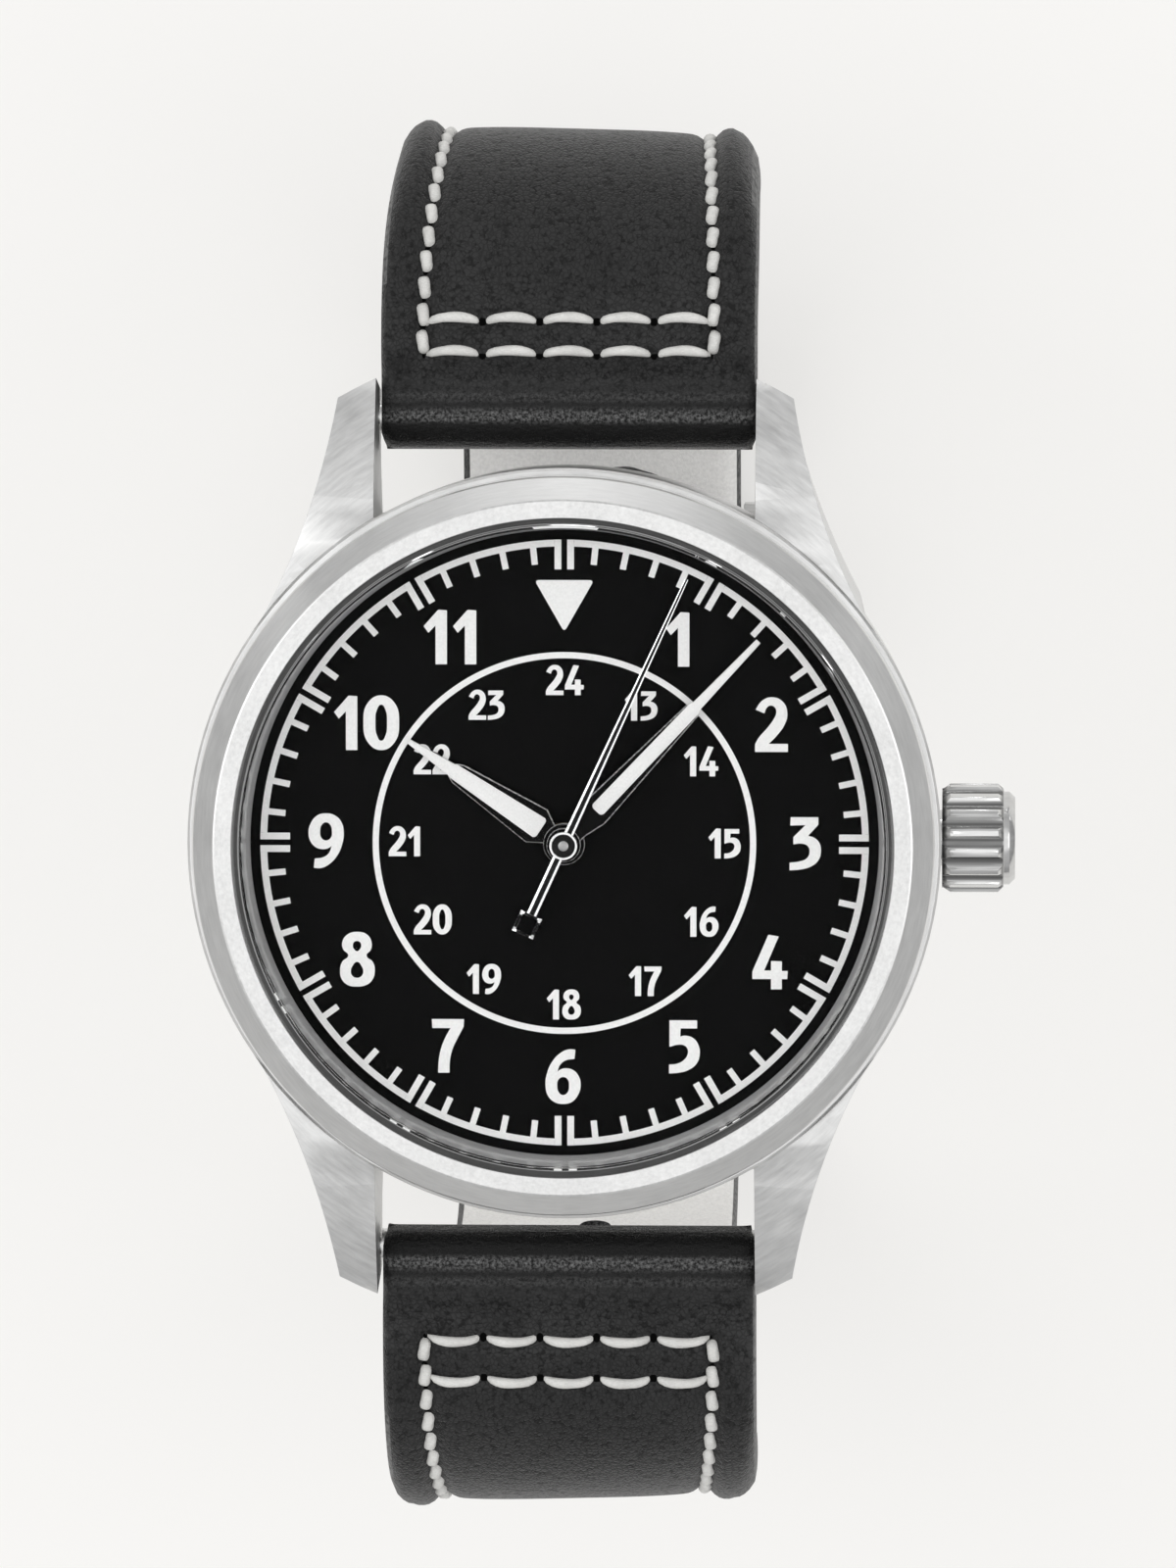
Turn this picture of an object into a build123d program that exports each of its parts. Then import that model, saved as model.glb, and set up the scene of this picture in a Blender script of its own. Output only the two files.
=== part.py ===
"""Pilot watch: case, dial, hands, self-winding movement, leather strap and buckle.

Millimetres. The origin is on the hands' axis, in the plane of the case back's outer face.
+Z goes out through the crystal, +Y to 12 o'clock and +X to the crown.
"""
from build123d import *
from math import asin, atan2, cos, degrees, radians, sin, sqrt
import os

os.makedirs("parts", exist_ok=True)

# Case heights, from the case back's outer face up
back_flange_top = 1.0
case_shoulder = 7.4
case_top = 9.3
bezel_top = 11.7
crystal_top = 11.85

# Mid case and lugs
case_radius = 20.0
case_bore = 16.2
case_upper_bore = 17.45
case_foot_chamfer = 1.2
case_edge_chamfer = 0.15
strap_gap = 20.2
lug_reach = 6.1
lug_tip_half = 12.1
lug_foot_y = 10.5
lug_foot_inset = 0.15
lug_crest_y = 13.5
lug_crest_drop = 0.3
lug_tip_top = 4.3
lug_tip_bottom = 0.9
lug_waist_shares = (0.384, 0.525)
lug_slope_shares = (0.55, 0.27)
overrun = 1.0

# Spring bars, on the axes that the strap halves turn about
bar_y = 22.3
bar_z = 3.0
bar_radius = 0.9
bar_tip_radius = 0.5
bar_tip_length = 0.8
bar_end_gap = 0.1
hole_clearance = 0.05
turning_clearance = 0.06

# Bezel, crystal and flange
bezel_radius = 19.65
bezel_bore = 17.5
bezel_band_radius = 18.45
bezel_wall_top = 10.7
crystal_radius = 17.1
crystal_bottom = 10.0
crystal_chamfer = 0.3
gasket_top = 11.3
flange_bottom_radius = 16.53
flange_top_radius = 17.0
flange_gap = 0.05

# Dial
dial_thickness = 0.4
dial_radius = 17.2
dial_hole_radius = 1.1
dial_foot_radius = 0.35
dial_foot_length = 1.0
dial_foot_place = 11.7
dial_foot_angles = (112, 292)

# Case back, its window and seals
back_radius = 18.3
back_neck_radius = 16.1
back_neck_top = 2.6
back_window_radius = 12.6
back_window_bottom = 0.1
back_window_top = 1.3
back_seat_radius = 12.1
back_lip_top = 1.9
window_seal_width = 0.35
notch_count = 6
notch_width = 2.4
notch_depth = 0.5
notch_length = 1.1
seal_groove_inner = 16.85
seal_groove_outer = 17.5
seal_height = 0.5

# Hands: clock angles in degrees, then lengths and half widths
hour_angle = 303.5
minute_angle = 43.5
second_angle = 24.7
hour_hub_radius = 1.1
hour_tip = 9.85
hour_frame_end = 7.05
hour_frame_start = 1.75
hour_frame_half_start = 1.05
hour_frame_half_end = 0.57
hour_slot_start = 1.45
hour_slot_half_start = 0.62
hour_slot_half_end = 0.4
hour_needle_half = 0.36
hour_tip_half = 0.13
minute_hub_radius = 0.9
minute_tip = 14.97
minute_frame_end = 10.1
minute_frame_start = 2.45
minute_frame_half_start = 0.8
minute_frame_half_end = 0.47
minute_slot_start = 2.3
minute_slot_half_start = 0.4
minute_slot_half_end = 0.3
minute_neck_half = 0.5
minute_needle_half = 0.28
minute_tip_half = 0.14
hand_slot_margin = 0.2
second_hub_radius = 0.68
second_tip = 15.6
second_half_hub = 0.26
second_half_tip = 0.09
second_tail = 4.0
second_tail_half = 0.24
weight_end = 5.4
weight_half = 0.62
weight_wall = 0.28
hour_blade_bottom = 8.1
minute_blade_bottom = 8.65
second_blade_bottom = 9.2
blade_thickness = 0.2
second_blade_thickness = 0.15
hub_skirt = 0.14
hub_rise = 0.05

# Crown, its tube and the winding stem, on an axis along +X
stem_z = 5.0
crown_gap = 0.15
crown_flute_length = 3.15
crown_cap_length = 0.6
crown_radius = 2.9
crown_cap_radius = 2.48
crown_flute_count = 16
crown_flute_radius = 0.42
crown_flute_share = 1.05
crown_chamfer = 0.3
crown_socket_radius = 1.95
crown_socket_depth = 2.15
crown_thread_length = 0.8
crown_thread_radius = 0.45
tube_radius = 1.5
tube_reach = 2.1
crown_seal_inset = 0.25
crown_seal_length = 0.5
seal_clearance = 0.05
stem_radius = 0.55
stem_bore_clearance = 0.07
stem_groove_start = 10.75
stem_groove_end = 11.45
stem_groove_radius = 0.33
stem_square_half = 0.37
stem_square_start = 7.4
stem_pilot_start = 6.2
stem_pilot_radius = 0.3
crown_pull = 1.2

# Movement: plate and bridge levels
movement_radius = 13.0
plate_bottom = 5.9
holder_gap = 0.05
holder_bottom = 2.75
holder_step = 0.1
bridge_bottom = 3.5
bridge_top = 4.1
bridge_reach = 11.1
post_radius = 0.85
jewel_radius = 0.6
jewel_thickness = 0.28
pivot_radius = 0.1
pivot_clearance = 0.05
pivot_depth = 0.5
screw_head_radius = 0.55
screw_head_height = 0.28
screw_shank_radius = 0.3
screw_depth = 0.5
screw_slot_width = 0.14
screw_slot_depth = 0.1
screw_gap = 0.03
wall_gap = 0.15

# Wheel train: modules, teeth and levels
barrel_module = 0.15
barrel_teeth = 72
centre_pinion_teeth = 12
centre_teeth = 75
third_pinion_teeth = 10
third_teeth = 80
fourth_pinion_teeth = 10
third_module = 0.1
fourth_module = 0.1
fourth_teeth = 80
escape_pinion_teeth = 8
arbor_radius = 0.15
centre_tube_radius = 0.42
centre_tube_bore = 0.27
seconds_arbor_radius = 0.2
wheel_thickness = 0.16
centre_wheel_bottom = 5.64
centre_pinion_bottom = 5.08
centre_pinion_height = 0.42
third_wheel_bottom = 4.7
third_pinion_bottom = 5.58
third_pinion_height = 0.26
fourth_wheel_bottom = 4.2
fourth_pinion_bottom = 4.58
fourth_pinion_height = 0.4
escape_pinion_bottom = 4.14
escape_pinion_height = 0.3
escape_level = 5.36
rim_share = 0.84
hub_share = 0.2
spoke_width = 0.34
barrel_angle = 60
third_angle = 190
escape_angle = 285
wheel_tooth_shares = ((-1.3, -0.27), (0, -0.2), (1.0, -0.05), (1.0, 0.05), (0, 0.2), (-1.3, 0.27))
leaf_shares = ((-1.35, -0.17), (0, -0.14), (0.75, -0.05), (0.75, 0.05), (0, 0.14), (-1.35, 0.17))

# Barrel, its spring, ratchet wheel, crown wheel and click
drum_radius = 4.95
drum_bottom = 4.45
drum_top = 5.45
drum_wall = 0.3
drum_cover = 0.14
barrel_flange_bottom = 5.16
barrel_arbor_radius = 0.5
barrel_core_radius = 1.3
barrel_pivot_radius = 0.3
spring_thickness = 0.16
spring_pitch = 0.42
spring_start_radius = 1.75
spring_turns = 6
spring_margin = 0.06
ratchet_bottom = 3.2
ratchet_height = 0.22
ratchet_module = 0.2
ratchet_teeth = 39
crown_wheel_teeth = 22
crown_wheel_post_radius = 0.7
click_place = (-2.3, 8.3)
click_pivot_radius = 0.35
click_body_radius = 0.75
click_tip_radius = 0.3
click_gap = 0.12
click_lean = 12

# Winding and sliding pinions on the stem, and the setting lever
pinion_start = 7.6
pinion_length = 1.15
pinion_module = 0.18
winding_teeth = 14
sliding_start = 8.95
sliding_length = 1.45
sliding_radius = 1.15
sliding_groove_start = 9.5
sliding_groove_length = 0.45
sliding_groove_radius = 0.85
round_bore_radius = 0.6
square_clearance = 0.05
lever_arm = 2.6
lever_bottom = 6.86
lever_thickness = 0.24
lever_pivot_radius = 0.35
lever_pivot_boss = 0.7
lever_pin_radius = 0.2
lever_pin_boss = 0.4
lever_pin_depth = 0.15
stem_tunnel_radius = 1.3

# Escapement and balance
escape_radius = 2.2
escape_teeth = 15
escape_rim_share = 0.66
escape_hub_share = 0.22
escape_tooth_shares = ((0.72, 0.0), (1.0, 0.42), (0.985, 0.56), (0.8, 0.5), (0.72, 0.66))
escape_to_pallet = 2.62
pallet_to_balance = 2.9
pallet_line_angle = -15
pallet_stone_angle = 32
pallet_stone_width = 0.32
pallet_stone_length = 0.62
pallet_arm_width = 0.4
fork_reach = 1.95
fork_half = 0.32
fork_slot_half = 0.12
fork_slot_depth = 0.4
pallet_bridge_bottom = 4.95
pallet_bridge_top = 5.2
balance_radius = 4.0
balance_rim_width = 0.5
balance_bottom = 4.38
balance_height = 0.38
balance_arm_width = 0.5
balance_screw_count = 12
balance_screw_radius = 0.14
balance_screw_length = 0.12
roller_radius = 0.75
roller_bottom = 5.06
roller_height = 0.22
impulse_pin_place = 0.5
impulse_pin_radius = 0.1
impulse_pin_drop = 0.22
staff_radius = 0.2
cock_post_radius = 1.1
hairspring_bottom = 4.14
hairspring_height = 0.14
hairspring_thickness = 0.07
hairspring_pitch = 0.3
hairspring_start_radius = 0.55
hairspring_turns = 6

# Motion works, under the dial
motion_recess_floor = 6.75
motion_recess_radius = 5.0
cannon_teeth = 12
minute_wheel_teeth = 36
minute_pinion_teeth = 10
hour_wheel_teeth = 40
motion_module = 0.11
motion_angle = 250
cannon_radius = 0.58
cannon_teeth_bottom = 6.84
cannon_teeth_height = 0.2
minute_wheel_bottom = 6.86
minute_pinion_height = 0.32
hour_wheel_bottom = 7.08
hour_pipe_radius = 0.85
hour_pipe_bore = 0.63
minute_post_radius = 0.25

# Automatic winding
rotor_bottom = 2.3
rotor_plate = 0.28
rotor_rim_top = 3.85
rotor_rim_inner = 11.4
rotor_radius = 12.7
rotor_sweep = 180
rotor_hub_radius = 2.1
rotor_window_shares = (0.3, 0.78)
rotor_window_angles = (35, 90, 145)
rotor_window_sweep = 40
rotor_pinion_teeth = 20
reversing_teeth = 40
rotor_module = 0.15
rotor_pinion_bottom = 2.78
rotor_pinion_height = 0.27
reversing_angle = 215
reversing_pinion_teeth = 10
reduction_teeth = 36
reduction_module = 0.12
reduction_angle = 300
reduction_bottom = 3.14
stud_radius = 0.8
stud_base_radius = 1.5
stud_base_height = 0.25

# Strap: side view of one half, and its widths
strap_width = 19.9
strap_end_width = 16.0
strap_nose = 1.6
strap_half_thick = 2.15
strap_half_thin = 1.6
lead_length = 4.0
bend_radius = 9.0
lean = 12
thinning_length = 7.0
buckle_fall = 32.0
turn_radius = 16.0
tail_length = 110.0
swing_gap = 1.2
tail_hole_count = 7
tail_hole_pitch = 6.0
tail_first_hole = 22.0
tail_hole_radius = 0.9
tail_point_radius = 8.5
strap_bore_clearance = 0.06

# Buckle and keepers
buckle_bar_radius = 0.75
buckle_bar_set_back = 0.6
buckle_inner_width = 16.5
buckle_side_width = 1.5
buckle_reach = 8.6
buckle_front_width = 2.0
buckle_thickness = 1.9
buckle_eye_radius = 1.6
tongue_width = 2.2
tongue_thickness = 1.1
tongue_gap = 0.1
tongue_slot_width = 2.6
tongue_slot_depth = 4.5
keeper_wall = 0.8
keeper_length = 5.0
keeper_spare = 1.7
keeper_gap = 0.35
keeper_side_gap = 0.15
free_keeper_place = 24.0
free_keeper_rise = 3.0
fixed_keeper_angle = 48


def disc(radius, low, high, at=(0, 0), mode=Mode.ADD):
    """Upright cylinder between two heights, in the piece being built."""
    with Locations((*at, low)):
        Cylinder(radius, high - low, align=(Align.CENTER, Align.CENTER, Align.MIN), mode=mode)


def rod(radius, start, end, mode=Mode.ADD):
    """Cylinder along the stem's axis between two places along X."""
    with Locations(Location((start, 0, stem_z), (0, 90, 0))):
        Cylinder(radius, end - start, align=(Align.CENTER, Align.CENTER, Align.MIN), mode=mode)


def polar(distance, angle, start=(0, 0)):
    """Point at a distance and an angle from a start, in the dial's plane."""
    return (start[0] + distance * cos(radians(angle)), start[1] + distance * sin(radians(angle)))


def direction(start, end):
    """Angle of the line between two points, in degrees."""
    return degrees(atan2(end[1] - start[1], end[0] - start[0]))


def tooth_points(teeth, module, phase, shares=wheel_tooth_shares):
    """Outline of a toothed wheel whose first tooth is centred on the phase angle."""
    points = []
    for tooth in range(teeth):
        for reach, turn in shares:
            radius = (teeth / 2 + reach) * module
            points.append(polar(radius, phase + (tooth + turn) * 360 / teeth))
    return points


def gap_phase(teeth, angle):
    """Phase that puts a gap between two teeth at an angle."""
    return angle + 180 / teeth


def clock_plane(angle, height):
    """Plane at a height, turned so that its local +Y points along a clock angle."""
    turn = radians(angle)
    return Plane(origin=(0, 0, height), x_dir=(cos(turn), -sin(turn), 0))


# Mid case: a turned body with four lugs
lug_inner_x = strap_gap / 2
lug_tip_radius = case_radius + lug_reach
lug_foot_x = sqrt((case_radius - lug_foot_inset) ** 2 - lug_foot_y ** 2)
lug_tip_y = sqrt(lug_tip_radius ** 2 - lug_tip_half ** 2)
lug_inner_tip_y = sqrt(lug_tip_radius ** 2 - lug_inner_x ** 2)
lug_tip_mid_angle = (direction((0, 0), (lug_inner_x, lug_inner_tip_y))
                     + direction((0, 0), (lug_tip_half, lug_tip_y))) / 2
lug_waist_x = lug_tip_half + lug_waist_shares[0] * (lug_foot_x - lug_tip_half)
lug_waist_y = lug_tip_y + lug_waist_shares[1] * (lug_foot_y - lug_tip_y)
lug_crest_top = case_top - lug_crest_drop
lug_slope_y = lug_crest_y + lug_slope_shares[0] * (lug_tip_radius - lug_crest_y)
lug_slope_z = lug_crest_top + lug_slope_shares[1] * (lug_tip_top - lug_crest_top)

with BuildPart() as lug:
    with BuildSketch():
        with BuildLine():
            inner_side = Line((lug_inner_x, 0), (lug_inner_x, lug_inner_tip_y))
            tip = ThreePointArc(inner_side @ 1, polar(lug_tip_radius, lug_tip_mid_angle),
                                (lug_tip_half, lug_tip_y))
            outer_side = ThreePointArc(tip @ 1, (lug_waist_x, lug_waist_y), (lug_foot_x, lug_foot_y))
            Polyline(outer_side @ 1, (lug_foot_x, 0), inner_side @ 0)
        make_face()
    extrude(amount=case_top)
    with BuildSketch(Plane.YZ):
        with BuildLine():
            crest = Line((0, lug_crest_top), (lug_crest_y, lug_crest_top))
            slope = ThreePointArc(crest @ 1, (lug_slope_y, lug_slope_z), (lug_tip_radius, lug_tip_top))
            Polyline(slope @ 1, (lug_tip_radius, lug_tip_bottom), (case_radius, back_flange_top),
                     (0, back_flange_top), crest @ 0)
        make_face()
    extrude(amount=case_radius, mode=Mode.INTERSECT)
    with BuildSketch(Plane.YZ.offset(lug_inner_x)):
        with Locations((bar_y, bar_z)):
            Circle(bar_tip_radius + hole_clearance)
    extrude(amount=bar_tip_length + bar_end_gap, mode=Mode.SUBTRACT)

with BuildPart() as mid_case:
    add(lug.part)
    mirror(about=Plane.XZ)
    mirror(about=Plane.YZ)
    with BuildSketch(Plane.XZ):
        with BuildLine():
            Polyline((0, back_flange_top), (case_radius - case_foot_chamfer, back_flange_top),
                     (case_radius, back_flange_top + case_foot_chamfer),
                     (case_radius, case_top - case_edge_chamfer),
                     (case_radius - case_edge_chamfer, case_top), (0, case_top), close=True)
        make_face()
    revolve(axis=Axis.Z)
    disc(case_bore, 0, case_top, mode=Mode.SUBTRACT)
    disc(case_upper_bore, case_shoulder, case_top, mode=Mode.SUBTRACT)
    with BuildSketch(Plane.XY.offset(back_flange_top)):
        Circle(seal_groove_outer)
        Circle(seal_groove_inner, mode=Mode.SUBTRACT)
    extrude(amount=seal_height, mode=Mode.SUBTRACT)
    rod(tube_radius, case_bore - overrun, case_radius + overrun, mode=Mode.SUBTRACT)
mid_case.part.label = "mid_case"
export_step(mid_case.part, "parts/mid_case.step")

for bar_name, side in (("spring_bar_12", 1), ("spring_bar_6", -1)):
    with BuildPart() as spring_bar:
        with BuildSketch(Plane.YZ):
            with Locations((side * bar_y, bar_z)):
                Circle(bar_radius)
        extrude(amount=lug_inner_x - bar_end_gap, both=True)
        with BuildSketch(Plane.YZ):
            with Locations((side * bar_y, bar_z)):
                Circle(bar_tip_radius)
        extrude(amount=lug_inner_x + bar_tip_length, both=True)
    spring_bar.part.label = bar_name
    export_step(spring_bar.part, f"parts/{bar_name}.step")

# Bezel, crystal, its gasket and the flange ring under it
with BuildPart() as bezel:
    with BuildSketch(Plane.XZ):
        with BuildLine():
            Polyline((bezel_bore, case_top), (bezel_radius, case_top), (bezel_radius, bezel_wall_top),
                     (bezel_band_radius, bezel_top), (bezel_bore, bezel_top), close=True)
        make_face()
    revolve(axis=Axis.Z)
bezel.part.label = "bezel"
export_step(bezel.part, "parts/bezel.step")

with BuildPart() as crystal:
    disc(crystal_radius, crystal_bottom, crystal_top)
    chamfer(crystal.faces().sort_by(Axis.Z)[-1].edges(), crystal_chamfer)
crystal.part.label = "crystal"
export_step(crystal.part, "parts/crystal.step")

with BuildPart() as crystal_gasket:
    disc(bezel_bore, crystal_bottom, gasket_top)
    disc(crystal_radius, crystal_bottom, gasket_top, mode=Mode.SUBTRACT)
crystal_gasket.part.label = "crystal_gasket"
export_step(crystal_gasket.part, "parts/crystal_gasket.step")

dial_top = case_shoulder + dial_thickness
flange_radius = case_upper_bore - flange_gap
with BuildPart() as dial_flange:
    with BuildSketch(Plane.XZ):
        with BuildLine():
            Polyline((flange_bottom_radius, dial_top), (flange_radius, dial_top),
                     (flange_radius, crystal_bottom), (flange_top_radius, crystal_bottom), close=True)
        make_face()
    revolve(axis=Axis.Z)
dial_flange.part.label = "dial_flange"
export_step(dial_flange.part, "parts/dial_flange.step")

with BuildPart() as dial:
    disc(dial_radius, case_shoulder, dial_top)
    disc(dial_hole_radius, case_shoulder, dial_top, mode=Mode.SUBTRACT)
    for angle in dial_foot_angles:
        disc(dial_foot_radius, case_shoulder - dial_foot_length, case_shoulder,
             at=polar(dial_foot_place, angle))
dial.part.label = "dial"
export_step(dial.part, "parts/dial.step")

# Case back with its window and two seals
window_seal_radius = back_window_radius + window_seal_width
with BuildPart() as case_back:
    disc(back_radius, 0, back_flange_top)
    disc(back_neck_radius, back_flange_top, back_neck_top)
    disc(window_seal_radius, 0, back_window_top, mode=Mode.SUBTRACT)
    disc(back_seat_radius, back_window_top, back_lip_top, mode=Mode.SUBTRACT)
    disc(window_seal_radius, back_lip_top, back_neck_top, mode=Mode.SUBTRACT)
    with BuildSketch():
        with PolarLocations(back_radius - notch_length / 2, notch_count):
            Rectangle(notch_length, notch_width)
    extrude(amount=notch_depth, mode=Mode.SUBTRACT)
case_back.part.label = "case_back"
export_step(case_back.part, "parts/case_back.step")

with BuildPart() as back_window:
    disc(back_window_radius, back_window_bottom, back_window_top)
back_window.part.label = "back_window"
export_step(back_window.part, "parts/back_window.step")

with BuildPart() as back_window_gasket:
    disc(window_seal_radius, back_window_bottom, back_window_top)
    disc(back_window_radius, back_window_bottom, back_window_top, mode=Mode.SUBTRACT)
back_window_gasket.part.label = "back_window_gasket"
export_step(back_window_gasket.part, "parts/back_window_gasket.step")

with BuildPart() as back_gasket:
    disc(seal_groove_outer, back_flange_top, back_flange_top + seal_height)
    disc(seal_groove_inner, back_flange_top, back_flange_top + seal_height, mode=Mode.SUBTRACT)
back_gasket.part.label = "back_gasket"
export_step(back_gasket.part, "parts/back_gasket.step")

# Hour and minute hands: a framed blade with a slot for the luminous fill, then a needle
hands = (
    ("hour_hand", hour_angle, hour_blade_bottom, hour_hub_radius, hour_pipe_radius,
     (hour_frame_start, hour_frame_half_start, hour_hub_radius / 2),
     (hour_frame_end, hour_frame_half_end, hour_needle_half), (hour_tip, hour_tip_half),
     (hour_slot_start, hour_slot_half_start, hour_slot_half_end)),
    ("minute_hand", minute_angle, minute_blade_bottom, minute_hub_radius, cannon_radius,
     (minute_frame_start, minute_frame_half_start, minute_neck_half),
     (minute_frame_end, minute_frame_half_end, minute_needle_half), (minute_tip, minute_tip_half),
     (minute_slot_start, minute_slot_half_start, minute_slot_half_end)),
)
for hand_name, angle, bottom, hub, pipe, shoulder, frame_end, needle, slot in hands:
    start, start_half, neck_half = shoulder
    end, end_half, needle_half = frame_end
    slot_start, slot_half, slot_end_half = slot
    slot_end = end - hand_slot_margin
    slot_outline = [(-slot_half, slot_start), (slot_half, slot_start), (slot_end_half, slot_end),
                    (-slot_end_half, slot_end)]
    right_side = [(neck_half, 0), (neck_half, hub), (start_half, start), (end_half, end),
                  (needle_half, end), (needle[1], needle[0])]
    left_side = [(-x, y) for x, y in reversed(right_side)]
    with BuildPart() as hand:
        with BuildSketch(clock_plane(angle, bottom)):
            Polygon(*right_side, *left_side, align=None)
            Polygon(*slot_outline, align=None, mode=Mode.SUBTRACT)
        extrude(amount=blade_thickness)
        disc(hub, bottom - hub_skirt, bottom + blade_thickness + hub_rise)
        disc(pipe, bottom - hub_skirt, bottom + blade_thickness + hub_rise, mode=Mode.SUBTRACT)
    hand.part.label = hand_name
    export_step(hand.part, f"parts/{hand_name}.step")
    with BuildPart() as lume:
        with BuildSketch(clock_plane(angle, bottom)):
            Polygon(*slot_outline, align=None)
        extrude(amount=blade_thickness)
        disc(hub, bottom - hub_skirt, bottom + blade_thickness + hub_rise, mode=Mode.SUBTRACT)
    lume.part.label = f"{hand_name}_lume"
    export_step(lume.part, f"parts/{hand_name}_lume.step")

with BuildPart() as seconds_hand:
    with BuildSketch(clock_plane(second_angle, second_blade_bottom)):
        Polygon((-second_half_hub, 0), (second_half_hub, 0), (second_half_tip, second_tip),
                (-second_half_tip, second_tip), align=None)
        Polygon((-second_tail_half, -second_tail), (second_tail_half, -second_tail),
                (second_tail_half, 0), (-second_tail_half, 0), align=None)
        Polygon((-weight_half, -weight_end), (weight_half, -weight_end), (weight_half, -second_tail),
                (-weight_half, -second_tail), align=None)
        Polygon((weight_wall - weight_half, weight_wall - weight_end),
                (weight_half - weight_wall, weight_wall - weight_end),
                (weight_half - weight_wall, -second_tail - weight_wall),
                (weight_wall - weight_half, -second_tail - weight_wall), align=None, mode=Mode.SUBTRACT)
    extrude(amount=second_blade_thickness)
    disc(second_hub_radius, second_blade_bottom - hub_skirt, second_blade_bottom + second_blade_thickness)
    disc(seconds_arbor_radius, second_blade_bottom - hub_skirt,
         second_blade_bottom + second_blade_thickness, mode=Mode.SUBTRACT)
seconds_hand.part.label = "seconds_hand"
export_step(seconds_hand.part, "parts/seconds_hand.step")

# Crown, tube, seal and stem
crown_start = case_radius + crown_gap
crown_flute_end = crown_start + crown_flute_length
crown_socket_end = crown_start + crown_socket_depth
crown_thread_end = crown_socket_end + crown_thread_length
crown_seal_start = crown_start + crown_seal_inset
tube_end = case_radius + tube_reach
crown_end = crown_flute_end + crown_cap_length
with BuildPart() as crown:
    rod(crown_radius, crown_start, crown_flute_end)
    chamfer(crown.edges().filter_by(GeomType.CIRCLE), crown_chamfer)
    with BuildSketch(Plane.YZ.offset(crown_start)):
        with Locations((0, stem_z)):
            with PolarLocations(crown_radius * crown_flute_share, crown_flute_count):
                Circle(crown_flute_radius)
    extrude(amount=crown_flute_length, mode=Mode.SUBTRACT)
    rod(crown_cap_radius, crown_flute_end, crown_end)
    chamfer(crown.faces().sort_by(Axis.X)[-1].edges(), crown_chamfer)
    rod(crown_socket_radius, crown_start, crown_socket_end, mode=Mode.SUBTRACT)
    rod(crown_thread_radius, crown_socket_end, crown_thread_end, mode=Mode.SUBTRACT)
crown.part.label = "crown"
export_step(crown.part, "parts/crown.step")

with BuildPart() as crown_tube:
    rod(tube_radius, case_bore, tube_end)
    rod(stem_radius + stem_bore_clearance, case_bore, tube_end, mode=Mode.SUBTRACT)
crown_tube.part.label = "crown_tube"
export_step(crown_tube.part, "parts/crown_tube.step")

with BuildPart() as crown_gasket:
    rod(crown_socket_radius - seal_clearance, crown_seal_start, crown_seal_start + crown_seal_length)
    rod(tube_radius + seal_clearance, crown_seal_start, crown_seal_start + crown_seal_length,
        mode=Mode.SUBTRACT)
crown_gasket.part.label = "crown_gasket"
export_step(crown_gasket.part, "parts/crown_gasket.step")

with BuildPart() as winding_stem:
    rod(stem_radius, stem_groove_end, crown_socket_end)
    rod(crown_thread_radius, crown_socket_end, crown_thread_end)
    rod(stem_groove_radius, stem_square_start, stem_groove_end)
    with BuildSketch(Plane.YZ.offset(stem_square_start)):
        with Locations((0, stem_z)):
            Rectangle(2 * stem_square_half, 2 * stem_square_half)
    extrude(amount=stem_groove_start - stem_square_start)
    rod(stem_pilot_radius, stem_pilot_start, stem_square_start)
winding_stem.part.label = "winding_stem"
export_step(winding_stem.part, "parts/winding_stem.step")

# Places of the wheel axes, worked out from the teeth
barrel_distance = barrel_module * (barrel_teeth + centre_pinion_teeth) / 2
third_distance = third_module * (third_teeth + fourth_pinion_teeth) / 2
centre_module = 2 * third_distance / (centre_teeth + third_pinion_teeth)
escape_distance = fourth_module * (fourth_teeth + escape_pinion_teeth) / 2
barrel_axis = polar(barrel_distance, barrel_angle)
third_axis = polar(third_distance, third_angle)
escape_axis = polar(escape_distance, escape_angle)
pallet_axis = polar(escape_to_pallet, pallet_line_angle, escape_axis)
balance_axis = polar(pallet_to_balance, pallet_line_angle, pallet_axis)
ratchet_distance = ratchet_module * (ratchet_teeth + crown_wheel_teeth) / 2
crown_wheel_axis = (barrel_axis[0] + sqrt(ratchet_distance ** 2 - barrel_axis[1] ** 2), 0)
motion_distance = motion_module * (cannon_teeth + minute_wheel_teeth) / 2
hour_module = 2 * motion_distance / (minute_pinion_teeth + hour_wheel_teeth)
minute_axis = polar(motion_distance, motion_angle)
reversing_distance = rotor_module * (rotor_pinion_teeth + reversing_teeth) / 2
reversing_axis = polar(reversing_distance, reversing_angle)
reduction_distance = reduction_module * (reversing_pinion_teeth + reduction_teeth) / 2
reduction_axis = polar(reduction_distance, reduction_angle, reversing_axis)
lever_pin_x = (stem_groove_start + stem_groove_end) / 2
lever_lean = degrees(asin(crown_pull / 2 / lever_arm))
lever_axis = (lever_pin_x + crown_pull / 2, lever_arm * cos(radians(lever_lean)))

# Posts that the bridges stand on, as shares of the movement's radius
train_post_shares = ((-0.738, 0.277), (-0.585, -0.538), (-0.154, -0.723))
barrel_post_shares = ((0.738, 0.354), (-0.323, 0.723))
cock_post_shares = ((0.185, -0.762),)
pallet_post_shares = ((0.169, -0.562), (0.415, -0.2))


def posts(shares):
    """Post places in the movement from their shares."""
    return [(x * movement_radius, y * movement_radius) for x, y in shares]


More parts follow.
